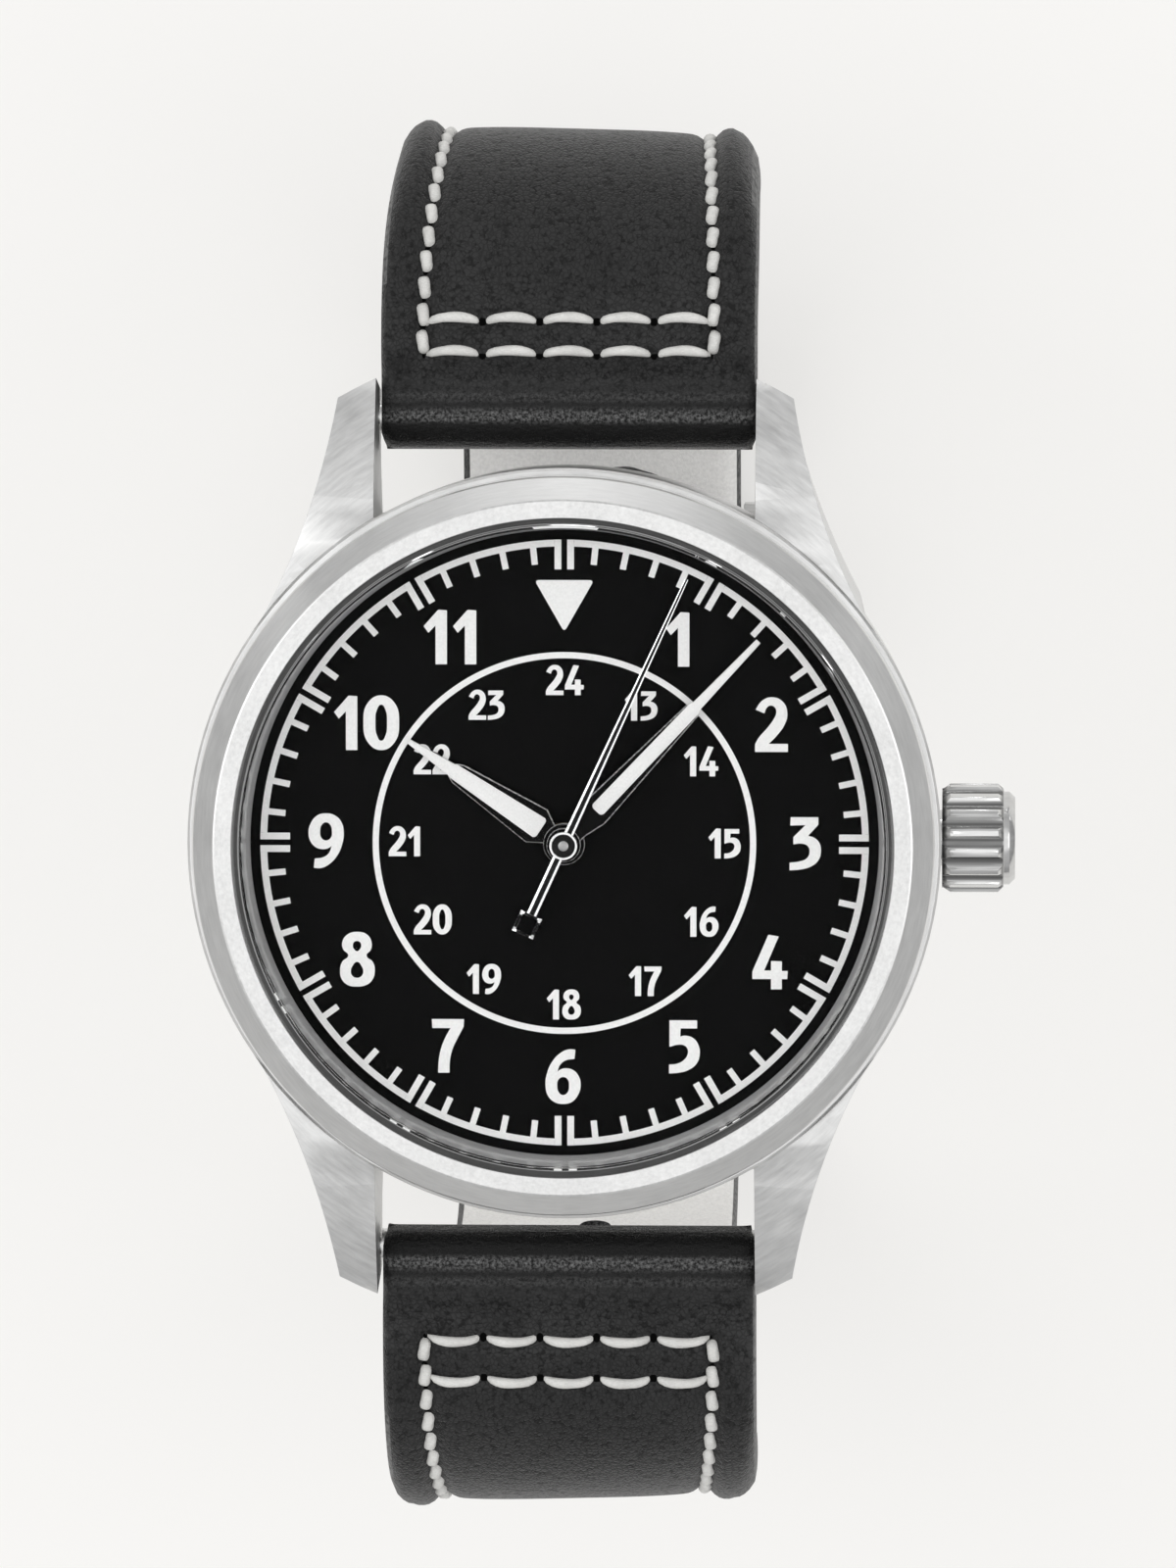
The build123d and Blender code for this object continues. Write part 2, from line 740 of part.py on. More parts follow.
train_posts = posts(train_post_shares)
barrel_posts = posts(barrel_post_shares)
cock_posts = posts(cock_post_shares)
pallet_posts = posts(pallet_post_shares)
screw_places = train_posts + barrel_posts + cock_posts
bridge_jewels = [(0, 0), third_axis, escape_axis, balance_axis]
plate_jewels = [third_axis, escape_axis, pallet_axis, balance_axis]

# Main plate: dial side recesses for the motion works and lever, and a pocket for the pinions
keyless_half = winding_teeth / 2 * pinion_module + pinion_module + wall_gap
with BuildPart() as main_plate:
    disc(movement_radius, plate_bottom, case_shoulder)
    disc(centre_tube_radius + pivot_clearance, plate_bottom, case_shoulder, mode=Mode.SUBTRACT)
    disc(motion_recess_radius, motion_recess_floor, case_shoulder, mode=Mode.SUBTRACT)
    disc(minute_post_radius, motion_recess_floor, case_shoulder - wall_gap, at=minute_axis)
    with BuildSketch(Plane.YZ.offset(stem_pilot_start - wall_gap)):
        with Locations((0, stem_z)):
            Rectangle(2 * keyless_half, 2 * keyless_half)
    extrude(amount=stem_groove_start - stem_pilot_start, mode=Mode.SUBTRACT)
    rod(stem_tunnel_radius, stem_groove_start - overrun, movement_radius + overrun, mode=Mode.SUBTRACT)
    with BuildSketch(Plane.XY.offset(lever_bottom - wall_gap)):
        with Locations(lever_axis):
            Circle(lever_pivot_boss + wall_gap)
        with Locations((lever_pin_x, 0), (lever_pin_x + crown_pull, 0)):
            Circle(lever_pin_boss + wall_gap)
        make_hull()
    extrude(amount=case_shoulder, mode=Mode.SUBTRACT)
    with BuildSketch(Plane.XY.offset(plate_bottom)):
        with Locations((lever_pin_x, 0), (lever_pin_x + crown_pull, 0)):
            Circle(lever_pin_radius + wall_gap)
        make_hull()
    extrude(amount=case_shoulder, mode=Mode.SUBTRACT)
    disc(lever_pivot_radius, lever_bottom - wall_gap, lever_bottom + lever_thickness, at=lever_axis)
    for place in plate_jewels:
        disc(jewel_radius, plate_bottom, plate_bottom + jewel_thickness, at=place, mode=Mode.SUBTRACT)
    for place in plate_jewels:
        disc(pivot_radius + pivot_clearance, plate_bottom, plate_bottom + pivot_depth, at=place,
             mode=Mode.SUBTRACT)
    disc(barrel_pivot_radius + pivot_clearance, plate_bottom, plate_bottom + pivot_depth,
         at=barrel_axis, mode=Mode.SUBTRACT)
    for place in screw_places:
        disc(screw_shank_radius, plate_bottom, plate_bottom + screw_depth, at=place, mode=Mode.SUBTRACT)
    for angle in dial_foot_angles:
        disc(dial_foot_radius, case_shoulder - dial_foot_length, case_shoulder,
             at=polar(dial_foot_place, angle), mode=Mode.SUBTRACT)
main_plate.part.label = "main_plate"
export_step(main_plate.part, "parts/main_plate.step")

with BuildPart() as movement_holder:
    disc(case_bore - holder_gap, holder_bottom, case_shoulder)
    disc(movement_radius + holder_step, holder_bottom, case_shoulder, mode=Mode.SUBTRACT)
    rod(stem_radius + wall_gap, movement_radius, case_bore, mode=Mode.SUBTRACT)
movement_holder.part.label = "movement_holder"
export_step(movement_holder.part, "parts/movement_holder.step")


def drill_bridge(screws, jewels):
    """Screw seats and jewel holes of the bridge being built."""
    for place in screws:
        disc(screw_head_radius + screw_gap, bridge_bottom, bridge_bottom + screw_head_height, at=place,
             mode=Mode.SUBTRACT)
        disc(screw_shank_radius, bridge_bottom, plate_bottom, at=place, mode=Mode.SUBTRACT)
    for place in jewels:
        disc(jewel_radius, bridge_top - jewel_thickness, bridge_top, at=place, mode=Mode.SUBTRACT)
        disc(pivot_radius + pivot_clearance, bridge_top - pivot_depth, bridge_top, at=place,
             mode=Mode.SUBTRACT)


reversing_pivot = arbor_radius + pivot_clearance
with BuildPart() as train_bridge:
    with BuildSketch(Plane.XY.offset(bridge_bottom)):
        with Locations(*train_posts, (0, 0), escape_axis):
            Circle(post_radius)
        make_hull()
    extrude(amount=bridge_top - bridge_bottom)
    for place in train_posts:
        disc(post_radius, bridge_top, plate_bottom, at=place)
    drill_bridge(train_posts, [(0, 0), third_axis, escape_axis])
    for place in (reversing_axis, reduction_axis):
        disc(reversing_pivot, bridge_bottom, bridge_bottom + pivot_depth, at=place, mode=Mode.SUBTRACT)
train_bridge.part.label = "train_bridge"
export_step(train_bridge.part, "parts/train_bridge.step")

with BuildPart() as barrel_bridge:
    with BuildSketch(Plane.XY.offset(bridge_bottom)):
        with Locations(*barrel_posts, crown_wheel_axis):
            Circle(post_radius)
        with Locations(barrel_axis):
            Circle(drum_radius)
        make_hull()
        Circle(bridge_reach, mode=Mode.INTERSECT)
    extrude(amount=bridge_top - bridge_bottom)
    for place in barrel_posts:
        disc(post_radius, bridge_top, plate_bottom, at=place)
    drill_bridge(barrel_posts, [])
    disc(barrel_arbor_radius + turning_clearance, bridge_bottom, bridge_top, at=barrel_axis,
         mode=Mode.SUBTRACT)
    with BuildSketch(Plane.XY.offset(bridge_bottom)):
        with Locations((pinion_start + pinion_length / 2, 0)):
            Rectangle(pinion_length + 2 * wall_gap, 2 * keyless_half)
    extrude(amount=bridge_top - bridge_bottom, mode=Mode.SUBTRACT)
    disc(crown_wheel_post_radius, ratchet_bottom, bridge_bottom, at=crown_wheel_axis)
    disc(click_pivot_radius, ratchet_bottom, bridge_bottom, at=click_place)
barrel_bridge.part.label = "barrel_bridge"
export_step(barrel_bridge.part, "parts/barrel_bridge.step")

with BuildPart() as balance_cock:
    with BuildSketch(Plane.XY.offset(bridge_bottom)):
        with Locations(*cock_posts, balance_axis):
            Circle(cock_post_radius)
        make_hull()
    extrude(amount=bridge_top - bridge_bottom)
    for place in cock_posts:
        disc(cock_post_radius, bridge_top, plate_bottom, at=place)
    drill_bridge(cock_posts, [balance_axis])
balance_cock.part.label = "balance_cock"
export_step(balance_cock.part, "parts/balance_cock.step")

with BuildPart() as pallet_bridge:
    with BuildSketch(Plane.XY.offset(pallet_bridge_bottom)):
        with Locations(*pallet_posts, pallet_axis):
            Circle(post_radius / 2)
        make_hull()
    extrude(amount=pallet_bridge_top - pallet_bridge_bottom)
    for place in pallet_posts:
        disc(post_radius / 2, pallet_bridge_top, plate_bottom, at=place)
    disc(pivot_radius + pivot_clearance, pallet_bridge_bottom, pallet_bridge_top, at=pallet_axis,
         mode=Mode.SUBTRACT)
pallet_bridge.part.label = "pallet_bridge"
export_step(pallet_bridge.part, "parts/pallet_bridge.step")

with BuildPart() as jewels:
    for place in bridge_jewels:
        disc(jewel_radius, bridge_top - jewel_thickness, bridge_top, at=place)
        disc(pivot_radius + pivot_clearance, bridge_top - jewel_thickness, bridge_top, at=place,
             mode=Mode.SUBTRACT)
    for place in plate_jewels:
        disc(jewel_radius, plate_bottom, plate_bottom + jewel_thickness, at=place)
        disc(pivot_radius + pivot_clearance, plate_bottom, plate_bottom + jewel_thickness, at=place,
             mode=Mode.SUBTRACT)
jewels.part.label = "jewels"
export_step(jewels.part, "parts/jewels.step")

with BuildPart() as bridge_screws:
    for place in screw_places:
        disc(screw_head_radius, bridge_bottom, bridge_bottom + screw_head_height, at=place)
        disc(screw_shank_radius, bridge_bottom, plate_bottom + screw_depth, at=place)
    with BuildSketch(Plane.XY.offset(bridge_bottom)):
        with Locations(*screw_places):
            Rectangle(2 * screw_head_radius, screw_slot_width)
    extrude(amount=screw_slot_depth, mode=Mode.SUBTRACT)
bridge_screws.part.label = "bridge_screws"
export_step(bridge_screws.part, "parts/bridge_screws.step")


def wheel_sketch(module, teeth, phase):
    """Train wheel in the plane: toothed rim, hub and four spokes."""
    window_radius = module * teeth / 2 * rim_share
    with BuildSketch() as wheel:
        Polygon(*tooth_points(teeth, module, phase), align=None)
        Circle(window_radius, mode=Mode.SUBTRACT)
        for turn in (0, 90):
            Rectangle(2 * window_radius + spoke_width / 2, spoke_width, rotation=phase + turn)
        Circle(window_radius * hub_share)
    return wheel.sketch


def pinion_sketch(module, teeth, phase):
    """Pinion leaves in the plane."""
    with BuildSketch() as pinion:
        Polygon(*tooth_points(teeth, module, phase, leaf_shares), align=None)
    return pinion.sketch


bridge_pivot_end = bridge_top - jewel_thickness
plate_pivot_end = plate_bottom + jewel_thickness
barrel_side = direction(barrel_axis, (0, 0))
third_side = direction(third_axis, (0, 0))
escape_side = direction(escape_axis, (0, 0))

with BuildPart() as centre_wheel:
    with BuildSketch(Plane.XY.offset(centre_wheel_bottom)):
        add(wheel_sketch(centre_module, centre_teeth, third_angle))
    extrude(amount=wheel_thickness)
    with BuildSketch(Plane.XY.offset(centre_pinion_bottom)):
        add(pinion_sketch(barrel_module, centre_pinion_teeth, gap_phase(centre_pinion_teeth, barrel_angle)))
    extrude(amount=centre_pinion_height)
    disc(centre_tube_radius, centre_pinion_bottom, case_shoulder + dial_thickness)
    disc(centre_tube_bore, centre_pinion_bottom, case_shoulder + dial_thickness, mode=Mode.SUBTRACT)
centre_wheel.part.label = "centre_wheel"
export_step(centre_wheel.part, "parts/centre_wheel.step")

with BuildPart() as third_wheel:
    with BuildSketch(Plane(origin=(*third_axis, third_wheel_bottom))):
        add(wheel_sketch(third_module, third_teeth, third_side))
    extrude(amount=wheel_thickness)
    with BuildSketch(Plane(origin=(*third_axis, third_pinion_bottom))):
        add(pinion_sketch(centre_module, third_pinion_teeth, gap_phase(third_pinion_teeth, third_side)))
    extrude(amount=third_pinion_height)
    disc(arbor_radius, bridge_top + pivot_clearance, plate_bottom - pivot_clearance, at=third_axis)
    disc(pivot_radius, bridge_pivot_end, plate_pivot_end, at=third_axis)
third_wheel.part.label = "third_wheel"
export_step(third_wheel.part, "parts/third_wheel.step")

with BuildPart() as fourth_wheel:
    with BuildSketch(Plane.XY.offset(fourth_wheel_bottom)):
        add(wheel_sketch(fourth_module, fourth_teeth, escape_angle))
    extrude(amount=wheel_thickness)
    with BuildSketch(Plane.XY.offset(fourth_pinion_bottom)):
        add(pinion_sketch(third_module, fourth_pinion_teeth, gap_phase(fourth_pinion_teeth, third_angle)))
    extrude(amount=fourth_pinion_height)
    disc(seconds_arbor_radius, bridge_top + pivot_clearance,
         second_blade_bottom + second_blade_thickness + hub_rise)
    disc(pivot_radius, bridge_pivot_end, bridge_top + wheel_thickness)
fourth_wheel.part.label = "fourth_wheel"
export_step(fourth_wheel.part, "parts/fourth_wheel.step")

with BuildPart() as escape_wheel:
    with BuildSketch(Plane(origin=(*escape_axis, escape_pinion_bottom))):
        add(pinion_sketch(fourth_module, escape_pinion_teeth, gap_phase(escape_pinion_teeth, escape_side)))
    extrude(amount=escape_pinion_height)
    disc(arbor_radius, bridge_top + pivot_clearance, plate_bottom - pivot_clearance, at=escape_axis)
    disc(pivot_radius, bridge_pivot_end, plate_pivot_end, at=escape_axis)
    with BuildSketch(Plane(origin=(*escape_axis, escape_level))):
        Polygon(*[polar(escape_radius * reach, (tooth + turn) * 360 / escape_teeth)
                  for tooth in range(escape_teeth) for reach, turn in escape_tooth_shares], align=None)
        Circle(escape_radius * escape_rim_share, mode=Mode.SUBTRACT)
        for turn in (0, 90):
            Rectangle(2 * escape_radius * escape_rim_share + pivot_radius, spoke_width, rotation=turn)
        Circle(escape_radius * escape_hub_share)
    extrude(amount=wheel_thickness)
escape_wheel.part.label = "escape_wheel"
export_step(escape_wheel.part, "parts/escape_wheel.step")

# Pallet fork: two stones just outside the escape wheel's tips, and a slotted lever to the balance
stone_place = escape_to_pallet * sin(radians(pallet_stone_angle))
with BuildPart() as pallet_fork:
    with BuildSketch(Plane(origin=(*pallet_axis, escape_level),
                           x_dir=(*polar(1, pallet_line_angle), 0))):
        with BuildLine():
            Polyline((-pallet_arm_width / 2, -stone_place), (pallet_arm_width / 2, -stone_place),
                     (pallet_arm_width / 2, -pallet_arm_width / 2), (fork_reach, -fork_half / 2),
                     (fork_reach, fork_half / 2), (pallet_arm_width / 2, pallet_arm_width / 2),
                     (pallet_arm_width / 2, stone_place), (-pallet_arm_width / 2, stone_place),
                     close=True)
        make_face()
        Circle(2 * arbor_radius)
        for side in (1, -1):
            with Locations((-pallet_stone_length / 2, side * (stone_place - pallet_stone_width / 2))):
                Rectangle(pallet_stone_length, pallet_stone_width)
        with Locations((fork_reach, 0)):
            Rectangle(2 * fork_slot_depth, 2 * fork_half)
            Rectangle(2 * fork_slot_depth, 2 * fork_slot_half, mode=Mode.SUBTRACT)
    extrude(amount=wheel_thickness)
    disc(arbor_radius, pallet_bridge_top + pivot_clearance, plate_bottom - pivot_clearance,
         at=pallet_axis)
    disc(pivot_radius, pallet_bridge_bottom, plate_pivot_end, at=pallet_axis)
pallet_fork.part.label = "pallet_fork"
export_step(pallet_fork.part, "parts/pallet_fork.step")

# Balance with its staff, roller and impulse pin, which rests turned away from the fork
balance_top = balance_bottom + balance_height
with BuildPart() as balance_wheel:
    with BuildSketch(Plane(origin=(*balance_axis, balance_bottom))):
        Circle(balance_radius)
        Circle(balance_radius - balance_rim_width, mode=Mode.SUBTRACT)
        Rectangle(2 * balance_radius - balance_rim_width, balance_arm_width, rotation=pallet_line_angle)
        Circle(balance_arm_width)
    extrude(amount=balance_height)
    disc(staff_radius, bridge_top + pivot_clearance, plate_bottom - pivot_clearance, at=balance_axis)
    disc(pivot_radius, bridge_pivot_end, plate_pivot_end, at=balance_axis)
    disc(roller_radius, roller_bottom, roller_bottom + roller_height, at=balance_axis)
    disc(impulse_pin_radius, roller_bottom, roller_bottom + roller_height + impulse_pin_drop,
         at=polar(impulse_pin_place, pallet_line_angle, balance_axis))
balance_wheel.part.label = "balance_wheel"
export_step(balance_wheel.part, "parts/balance_wheel.step")


def spiral_sketch(start_radius, pitch, turns, thickness):
    """Flat spiral of half rings whose centres step to and fro."""
    with BuildSketch() as band:
        for half in range(2 * turns):
            radius = start_radius + half * pitch / 2
            side = 1 if half % 2 == 0 else -1
            with BuildLine():
                outer = CenterArc((-side * pitch / 4, 0), radius + thickness / 2, 0, side * 180)
                inner = CenterArc((-side * pitch / 4, 0), radius - thickness / 2, 0, side * 180)
                Line(outer @ 0, inner @ 0)
                Line(outer @ 1, inner @ 1)
            make_face()
    return band.sketch


with BuildPart() as hairspring:
    with BuildSketch(Plane(origin=(*balance_axis, hairspring_bottom))):
        add(spiral_sketch(hairspring_start_radius, hairspring_pitch, hairspring_turns,
                          hairspring_thickness))
    extrude(amount=hairspring_height)
hairspring.part.label = "hairspring"
export_step(hairspring.part, "parts/hairspring.step")

# Barrel drum with its toothed flange, the spring inside and the arbor through it
with BuildPart() as barrel:
    disc(drum_radius, drum_bottom, drum_top, at=barrel_axis)
    with BuildSketch(Plane(origin=(*barrel_axis, barrel_flange_bottom))):
        Polygon(*tooth_points(barrel_teeth, barrel_module, barrel_side), align=None)
    extrude(amount=drum_top - barrel_flange_bottom)
    disc(drum_radius - drum_wall, drum_bottom + drum_cover, drum_top - drum_cover, at=barrel_axis,
         mode=Mode.SUBTRACT)
    disc(barrel_arbor_radius + turning_clearance, drum_bottom, drum_top, at=barrel_axis,
         mode=Mode.SUBTRACT)
barrel.part.label = "barrel"
export_step(barrel.part, "parts/barrel.step")

with BuildPart() as mainspring:
    with BuildSketch(Plane(origin=(*barrel_axis, drum_bottom + drum_cover + spring_margin))):
        add(spiral_sketch(spring_start_radius, spring_pitch, spring_turns, spring_thickness))
    extrude(amount=drum_top - drum_bottom - 2 * (drum_cover + spring_margin))
mainspring.part.label = "mainspring"
export_step(mainspring.part, "parts/mainspring.step")

with BuildPart() as barrel_arbor:
    disc(barrel_arbor_radius, ratchet_bottom, plate_bottom - pivot_clearance, at=barrel_axis)
    disc(barrel_core_radius, drum_bottom + drum_cover + spring_margin,
         drum_top - drum_cover - spring_margin, at=barrel_axis)
    disc(barrel_pivot_radius, plate_bottom - pivot_clearance, plate_pivot_end, at=barrel_axis)
barrel_arbor.part.label = "barrel_arbor"
export_step(barrel_arbor.part, "parts/barrel_arbor.step")

ratchet_side = direction(barrel_axis, crown_wheel_axis)
with BuildPart() as ratchet_wheel:
    with BuildSketch(Plane(origin=(*barrel_axis, ratchet_bottom))):
        Polygon(*tooth_points(ratchet_teeth, ratchet_module, ratchet_side), align=None)
        Circle(barrel_arbor_radius, mode=Mode.SUBTRACT)
    extrude(amount=ratchet_height)
ratchet_wheel.part.label = "ratchet_wheel"
export_step(ratchet_wheel.part, "parts/ratchet_wheel.step")

with BuildPart() as crown_wheel:
    with BuildSketch(Plane(origin=(*crown_wheel_axis, ratchet_bottom))):
        Polygon(*tooth_points(crown_wheel_teeth, ratchet_module,
                              gap_phase(crown_wheel_teeth, ratchet_side + 180)), align=None)
        Circle(crown_wheel_post_radius + pivot_clearance, mode=Mode.SUBTRACT)
    extrude(amount=ratchet_height)
crown_wheel.part.label = "crown_wheel"
export_step(crown_wheel.part, "parts/crown_wheel.step")

# Click: its tip stands at the ratchet's tooth tips, as when a tooth lifts it
click_turn = direction(barrel_axis, click_place)
ratchet_tip = ratchet_module * (ratchet_teeth / 2 + 1)
click_tip_place = polar(ratchet_tip + click_tip_radius + click_gap, click_turn - click_lean, barrel_axis)
with BuildPart() as click:
    with BuildSketch(Plane.XY.offset(ratchet_bottom)):
        with Locations(click_place):
            Circle(click_body_radius)
        with Locations(click_tip_place):
            Circle(click_tip_radius)
        make_hull()
        with Locations(click_place):
            Circle(click_pivot_radius + pivot_clearance, mode=Mode.SUBTRACT)
    extrude(amount=ratchet_height)
click.part.label = "click"
export_step(click.part, "parts/click.step")

# Winding and sliding pinions on the stem
with BuildPart() as winding_pinion:
    with BuildSketch(Plane.YZ.offset(pinion_start)):
        with Locations((0, stem_z)):
            Polygon(*tooth_points(winding_teeth, pinion_module, 90), align=None)
            Circle(round_bore_radius, mode=Mode.SUBTRACT)
    extrude(amount=pinion_length)
winding_pinion.part.label = "winding_pinion"
export_step(winding_pinion.part, "parts/winding_pinion.step")

square_bore = 2 * (stem_square_half + square_clearance)
with BuildPart() as sliding_pinion:
    rod(sliding_radius, sliding_start, sliding_start + sliding_length)
    with BuildSketch(Plane.YZ.offset(sliding_groove_start)):
        with Locations((0, stem_z)):
            Circle(sliding_radius)
            Circle(sliding_groove_radius, mode=Mode.SUBTRACT)
    extrude(amount=sliding_groove_length, mode=Mode.SUBTRACT)
    with BuildSketch(Plane.YZ.offset(sliding_start)):
        with Locations((0, stem_z)):
            Rectangle(square_bore, square_bore)
    extrude(amount=sliding_length, mode=Mode.SUBTRACT)
sliding_pinion.part.label = "sliding_pinion"
export_step(sliding_pinion.part, "parts/sliding_pinion.step")

with BuildPart() as setting_lever:
    with BuildSketch(Plane.XY.offset(lever_bottom)):
        with Locations(lever_axis):
            Circle(lever_pivot_boss)
        with Locations((lever_pin_x, 0)):
            Circle(lever_pin_boss)
        make_hull()
        with Locations(lever_axis):
            Circle(lever_pivot_radius + pivot_clearance, mode=Mode.SUBTRACT)
    extrude(amount=lever_thickness)
    disc(lever_pin_radius, stem_z + stem_radius - lever_pin_depth, lever_bottom, at=(lever_pin_x, 0))
setting_lever.part.label = "setting_lever"
export_step(setting_lever.part, "parts/setting_lever.step")

# Motion works: cannon pinion on the centre tube, minute wheel, hour wheel on the cannon pinion
minute_side = direction(minute_axis, (0, 0))
with BuildPart() as cannon_pinion:
    disc(cannon_radius, cannon_teeth_bottom, minute_blade_bottom + blade_thickness + hub_rise)
    with BuildSketch(Plane.XY.offset(cannon_teeth_bottom)):
        add(pinion_sketch(motion_module, cannon_teeth, gap_phase(cannon_teeth, motion_angle)))
    extrude(amount=cannon_teeth_height)
    disc(centre_tube_radius, cannon_teeth_bottom, minute_blade_bottom + blade_thickness + hub_rise,
         mode=Mode.SUBTRACT)
cannon_pinion.part.label = "cannon_pinion"
export_step(cannon_pinion.part, "parts/cannon_pinion.step")

minute_wheel_top = minute_wheel_bottom + wheel_thickness
with BuildPart() as minute_wheel:
    with BuildSketch(Plane(origin=(*minute_axis, minute_wheel_bottom))):
        add(wheel_sketch(motion_module, minute_wheel_teeth, minute_side))
    extrude(amount=wheel_thickness)
    with BuildSketch(Plane(origin=(*minute_axis, minute_wheel_top))):
        add(pinion_sketch(hour_module, minute_pinion_teeth, gap_phase(minute_pinion_teeth, minute_side)))
    extrude(amount=minute_pinion_height)
    disc(minute_post_radius + pivot_clearance, minute_wheel_bottom,
         minute_wheel_top + minute_pinion_height, at=minute_axis, mode=Mode.SUBTRACT)
minute_wheel.part.label = "minute_wheel"
export_step(minute_wheel.part, "parts/minute_wheel.step")

with BuildPart() as hour_wheel:
    with BuildSketch(Plane.XY.offset(hour_wheel_bottom)):
        Polygon(*tooth_points(hour_wheel_teeth, hour_module, motion_angle), align=None)
    extrude(amount=wheel_thickness)
    disc(hour_pipe_radius, hour_wheel_bottom, hour_blade_bottom + blade_thickness + hub_rise)
    disc(hour_pipe_bore, hour_wheel_bottom, hour_blade_bottom + blade_thickness + hub_rise,
         mode=Mode.SUBTRACT)
hour_wheel.part.label = "hour_wheel"
export_step(hour_wheel.part, "parts/hour_wheel.step")

# Automatic winding: bearing stud, rotor, reversing wheel and reduction wheel
with BuildPart() as rotor_bearing:
    disc(stud_base_radius, bridge_bottom - stud_base_height, bridge_bottom)
    disc(stud_radius, rotor_bottom, bridge_bottom)
rotor_bearing.part.label = "rotor_bearing"
export_step(rotor_bearing.part, "parts/rotor_bearing.step")

with BuildPart() as rotor:
    with BuildSketch(Plane.XY.offset(rotor_bottom)):
        Circle(rotor_radius)
        with Locations((0, rotor_radius / 2)):
            Rectangle(2 * rotor_radius, rotor_radius, mode=Mode.SUBTRACT)
        for angle in rotor_window_angles:
            with BuildLine(mode=Mode.PRIVATE) as window:
                inner = CenterArc((0, 0), rotor_radius * rotor_window_shares[0],
                                  angle + rotor_sweep - rotor_window_sweep / 2, rotor_window_sweep)
                outer = CenterArc((0, 0), rotor_radius * rotor_window_shares[1],
                                  angle + rotor_sweep - rotor_window_sweep / 2, rotor_window_sweep)
                Line(inner @ 0, outer @ 0)
                Line(inner @ 1, outer @ 1)
            make_face(window.edges(), mode=Mode.SUBTRACT)
        Circle(rotor_hub_radius)
    extrude(amount=rotor_plate)
    with BuildSketch(Plane.XY.offset(rotor_bottom)):
        Circle(rotor_radius)
        Circle(rotor_rim_inner, mode=Mode.SUBTRACT)
        with Locations((0, rotor_radius / 2)):
            Rectangle(2 * rotor_radius, rotor_radius, mode=Mode.SUBTRACT)
    extrude(amount=rotor_rim_top - rotor_bottom)
    with BuildSketch(Plane.XY.offset(rotor_bottom + rotor_plate)):
        add(pinion_sketch(rotor_module, rotor_pinion_teeth, gap_phase(rotor_pinion_teeth, reversing_angle)))
    extrude(amount=rotor_pinion_bottom + rotor_pinion_height - rotor_bottom - rotor_plate)
    disc(stud_radius + turning_clearance, rotor_bottom, rotor_rim_top, mode=Mode.SUBTRACT)
rotor.part.label = "rotor"
export_step(rotor.part, "parts/rotor.step")

reversing_side = direction(reversing_axis, (0, 0))
with BuildPart() as reversing_wheel:
    with BuildSketch(Plane(origin=(*reversing_axis, rotor_pinion_bottom))):
        add(wheel_sketch(rotor_module, reversing_teeth, reversing_side))
    extrude(amount=wheel_thickness)
    with BuildSketch(Plane(origin=(*reversing_axis, rotor_pinion_bottom + wheel_thickness))):
        add(pinion_sketch(reduction_module, reversing_pinion_teeth,
                          gap_phase(reversing_pinion_teeth, reduction_angle)))
    extrude(amount=bridge_bottom - pivot_clearance - rotor_pinion_bottom - wheel_thickness)
    disc(arbor_radius, rotor_pinion_bottom, bridge_bottom + pivot_depth - pivot_clearance,
         at=reversing_axis)
reversing_wheel.part.label = "reversing_wheel"
export_step(reversing_wheel.part, "parts/reversing_wheel.step")

with BuildPart() as reduction_wheel:
    with BuildSketch(Plane(origin=(*reduction_axis, reduction_bottom))):
        add(wheel_sketch(reduction_module, reduction_teeth, direction(reduction_axis, reversing_axis)))
    extrude(amount=wheel_thickness)
    disc(arbor_radius, reduction_bottom, bridge_bottom + pivot_depth - pivot_clearance,
         at=reduction_axis)
reduction_wheel.part.label = "reduction_wheel"
export_step(reduction_wheel.part, "parts/reduction_wheel.step")


# Strap: side views with local x away from the case, each half from its bar down and round
lead_end = bar_y + lead_length
bend_centre = (lead_end, bar_z - bend_radius)
fall_start = polar(bend_radius, -lean, bend_centre)
fall_angle = -90 - lean
buckle_fall_end = polar(buckle_fall, fall_angle, fall_start)
buckle_turn_centre = polar(-turn_radius, -lean, buckle_fall_end)
buckle_bar_place = (buckle_turn_centre[0] - buckle_bar_set_back, buckle_turn_centre[1] - turn_radius)

# The tail's last stretch follows a circle about its own bar, so that it can swing out past the buckle
buckle_far_end = (buckle_bar_place[0] - buckle_reach, buckle_bar_place[1] + buckle_thickness / 2)
swing_radius = (sqrt((buckle_far_end[0] + bar_y) ** 2 + (buckle_far_end[1] - bar_z) ** 2)
                - swing_gap - strap_half_thin)
turn_base = polar(-turn_radius, -lean, fall_start)
base_offset = (turn_base[0] - bar_y, turn_base[1] - bar_z)
fall_step = polar(1, fall_angle)
along_fall = base_offset[0] * fall_step[0] + base_offset[1] * fall_step[1]
tail_fall = -along_fall + sqrt(along_fall ** 2 - base_offset[0] ** 2 - base_offset[1] ** 2
                               + (swing_radius - turn_radius) ** 2)
tail_fall_end = polar(tail_fall, fall_angle, fall_start)
tail_turn_centre = polar(-turn_radius, -lean, tail_fall_end)
tail_turn_end = direction((bar_y, bar_z), tail_turn_centre)
tail_turn = -lean - tail_turn_end
length_to_swing = (lead_length + radians(90 + lean) * bend_radius + tail_fall
                   + radians(tail_turn) * turn_radius)
swing_length = tail_length - length_to_swing
tail_swing = degrees(swing_length / swing_radius)
tail_end_angle = tail_turn_end - tail_swing


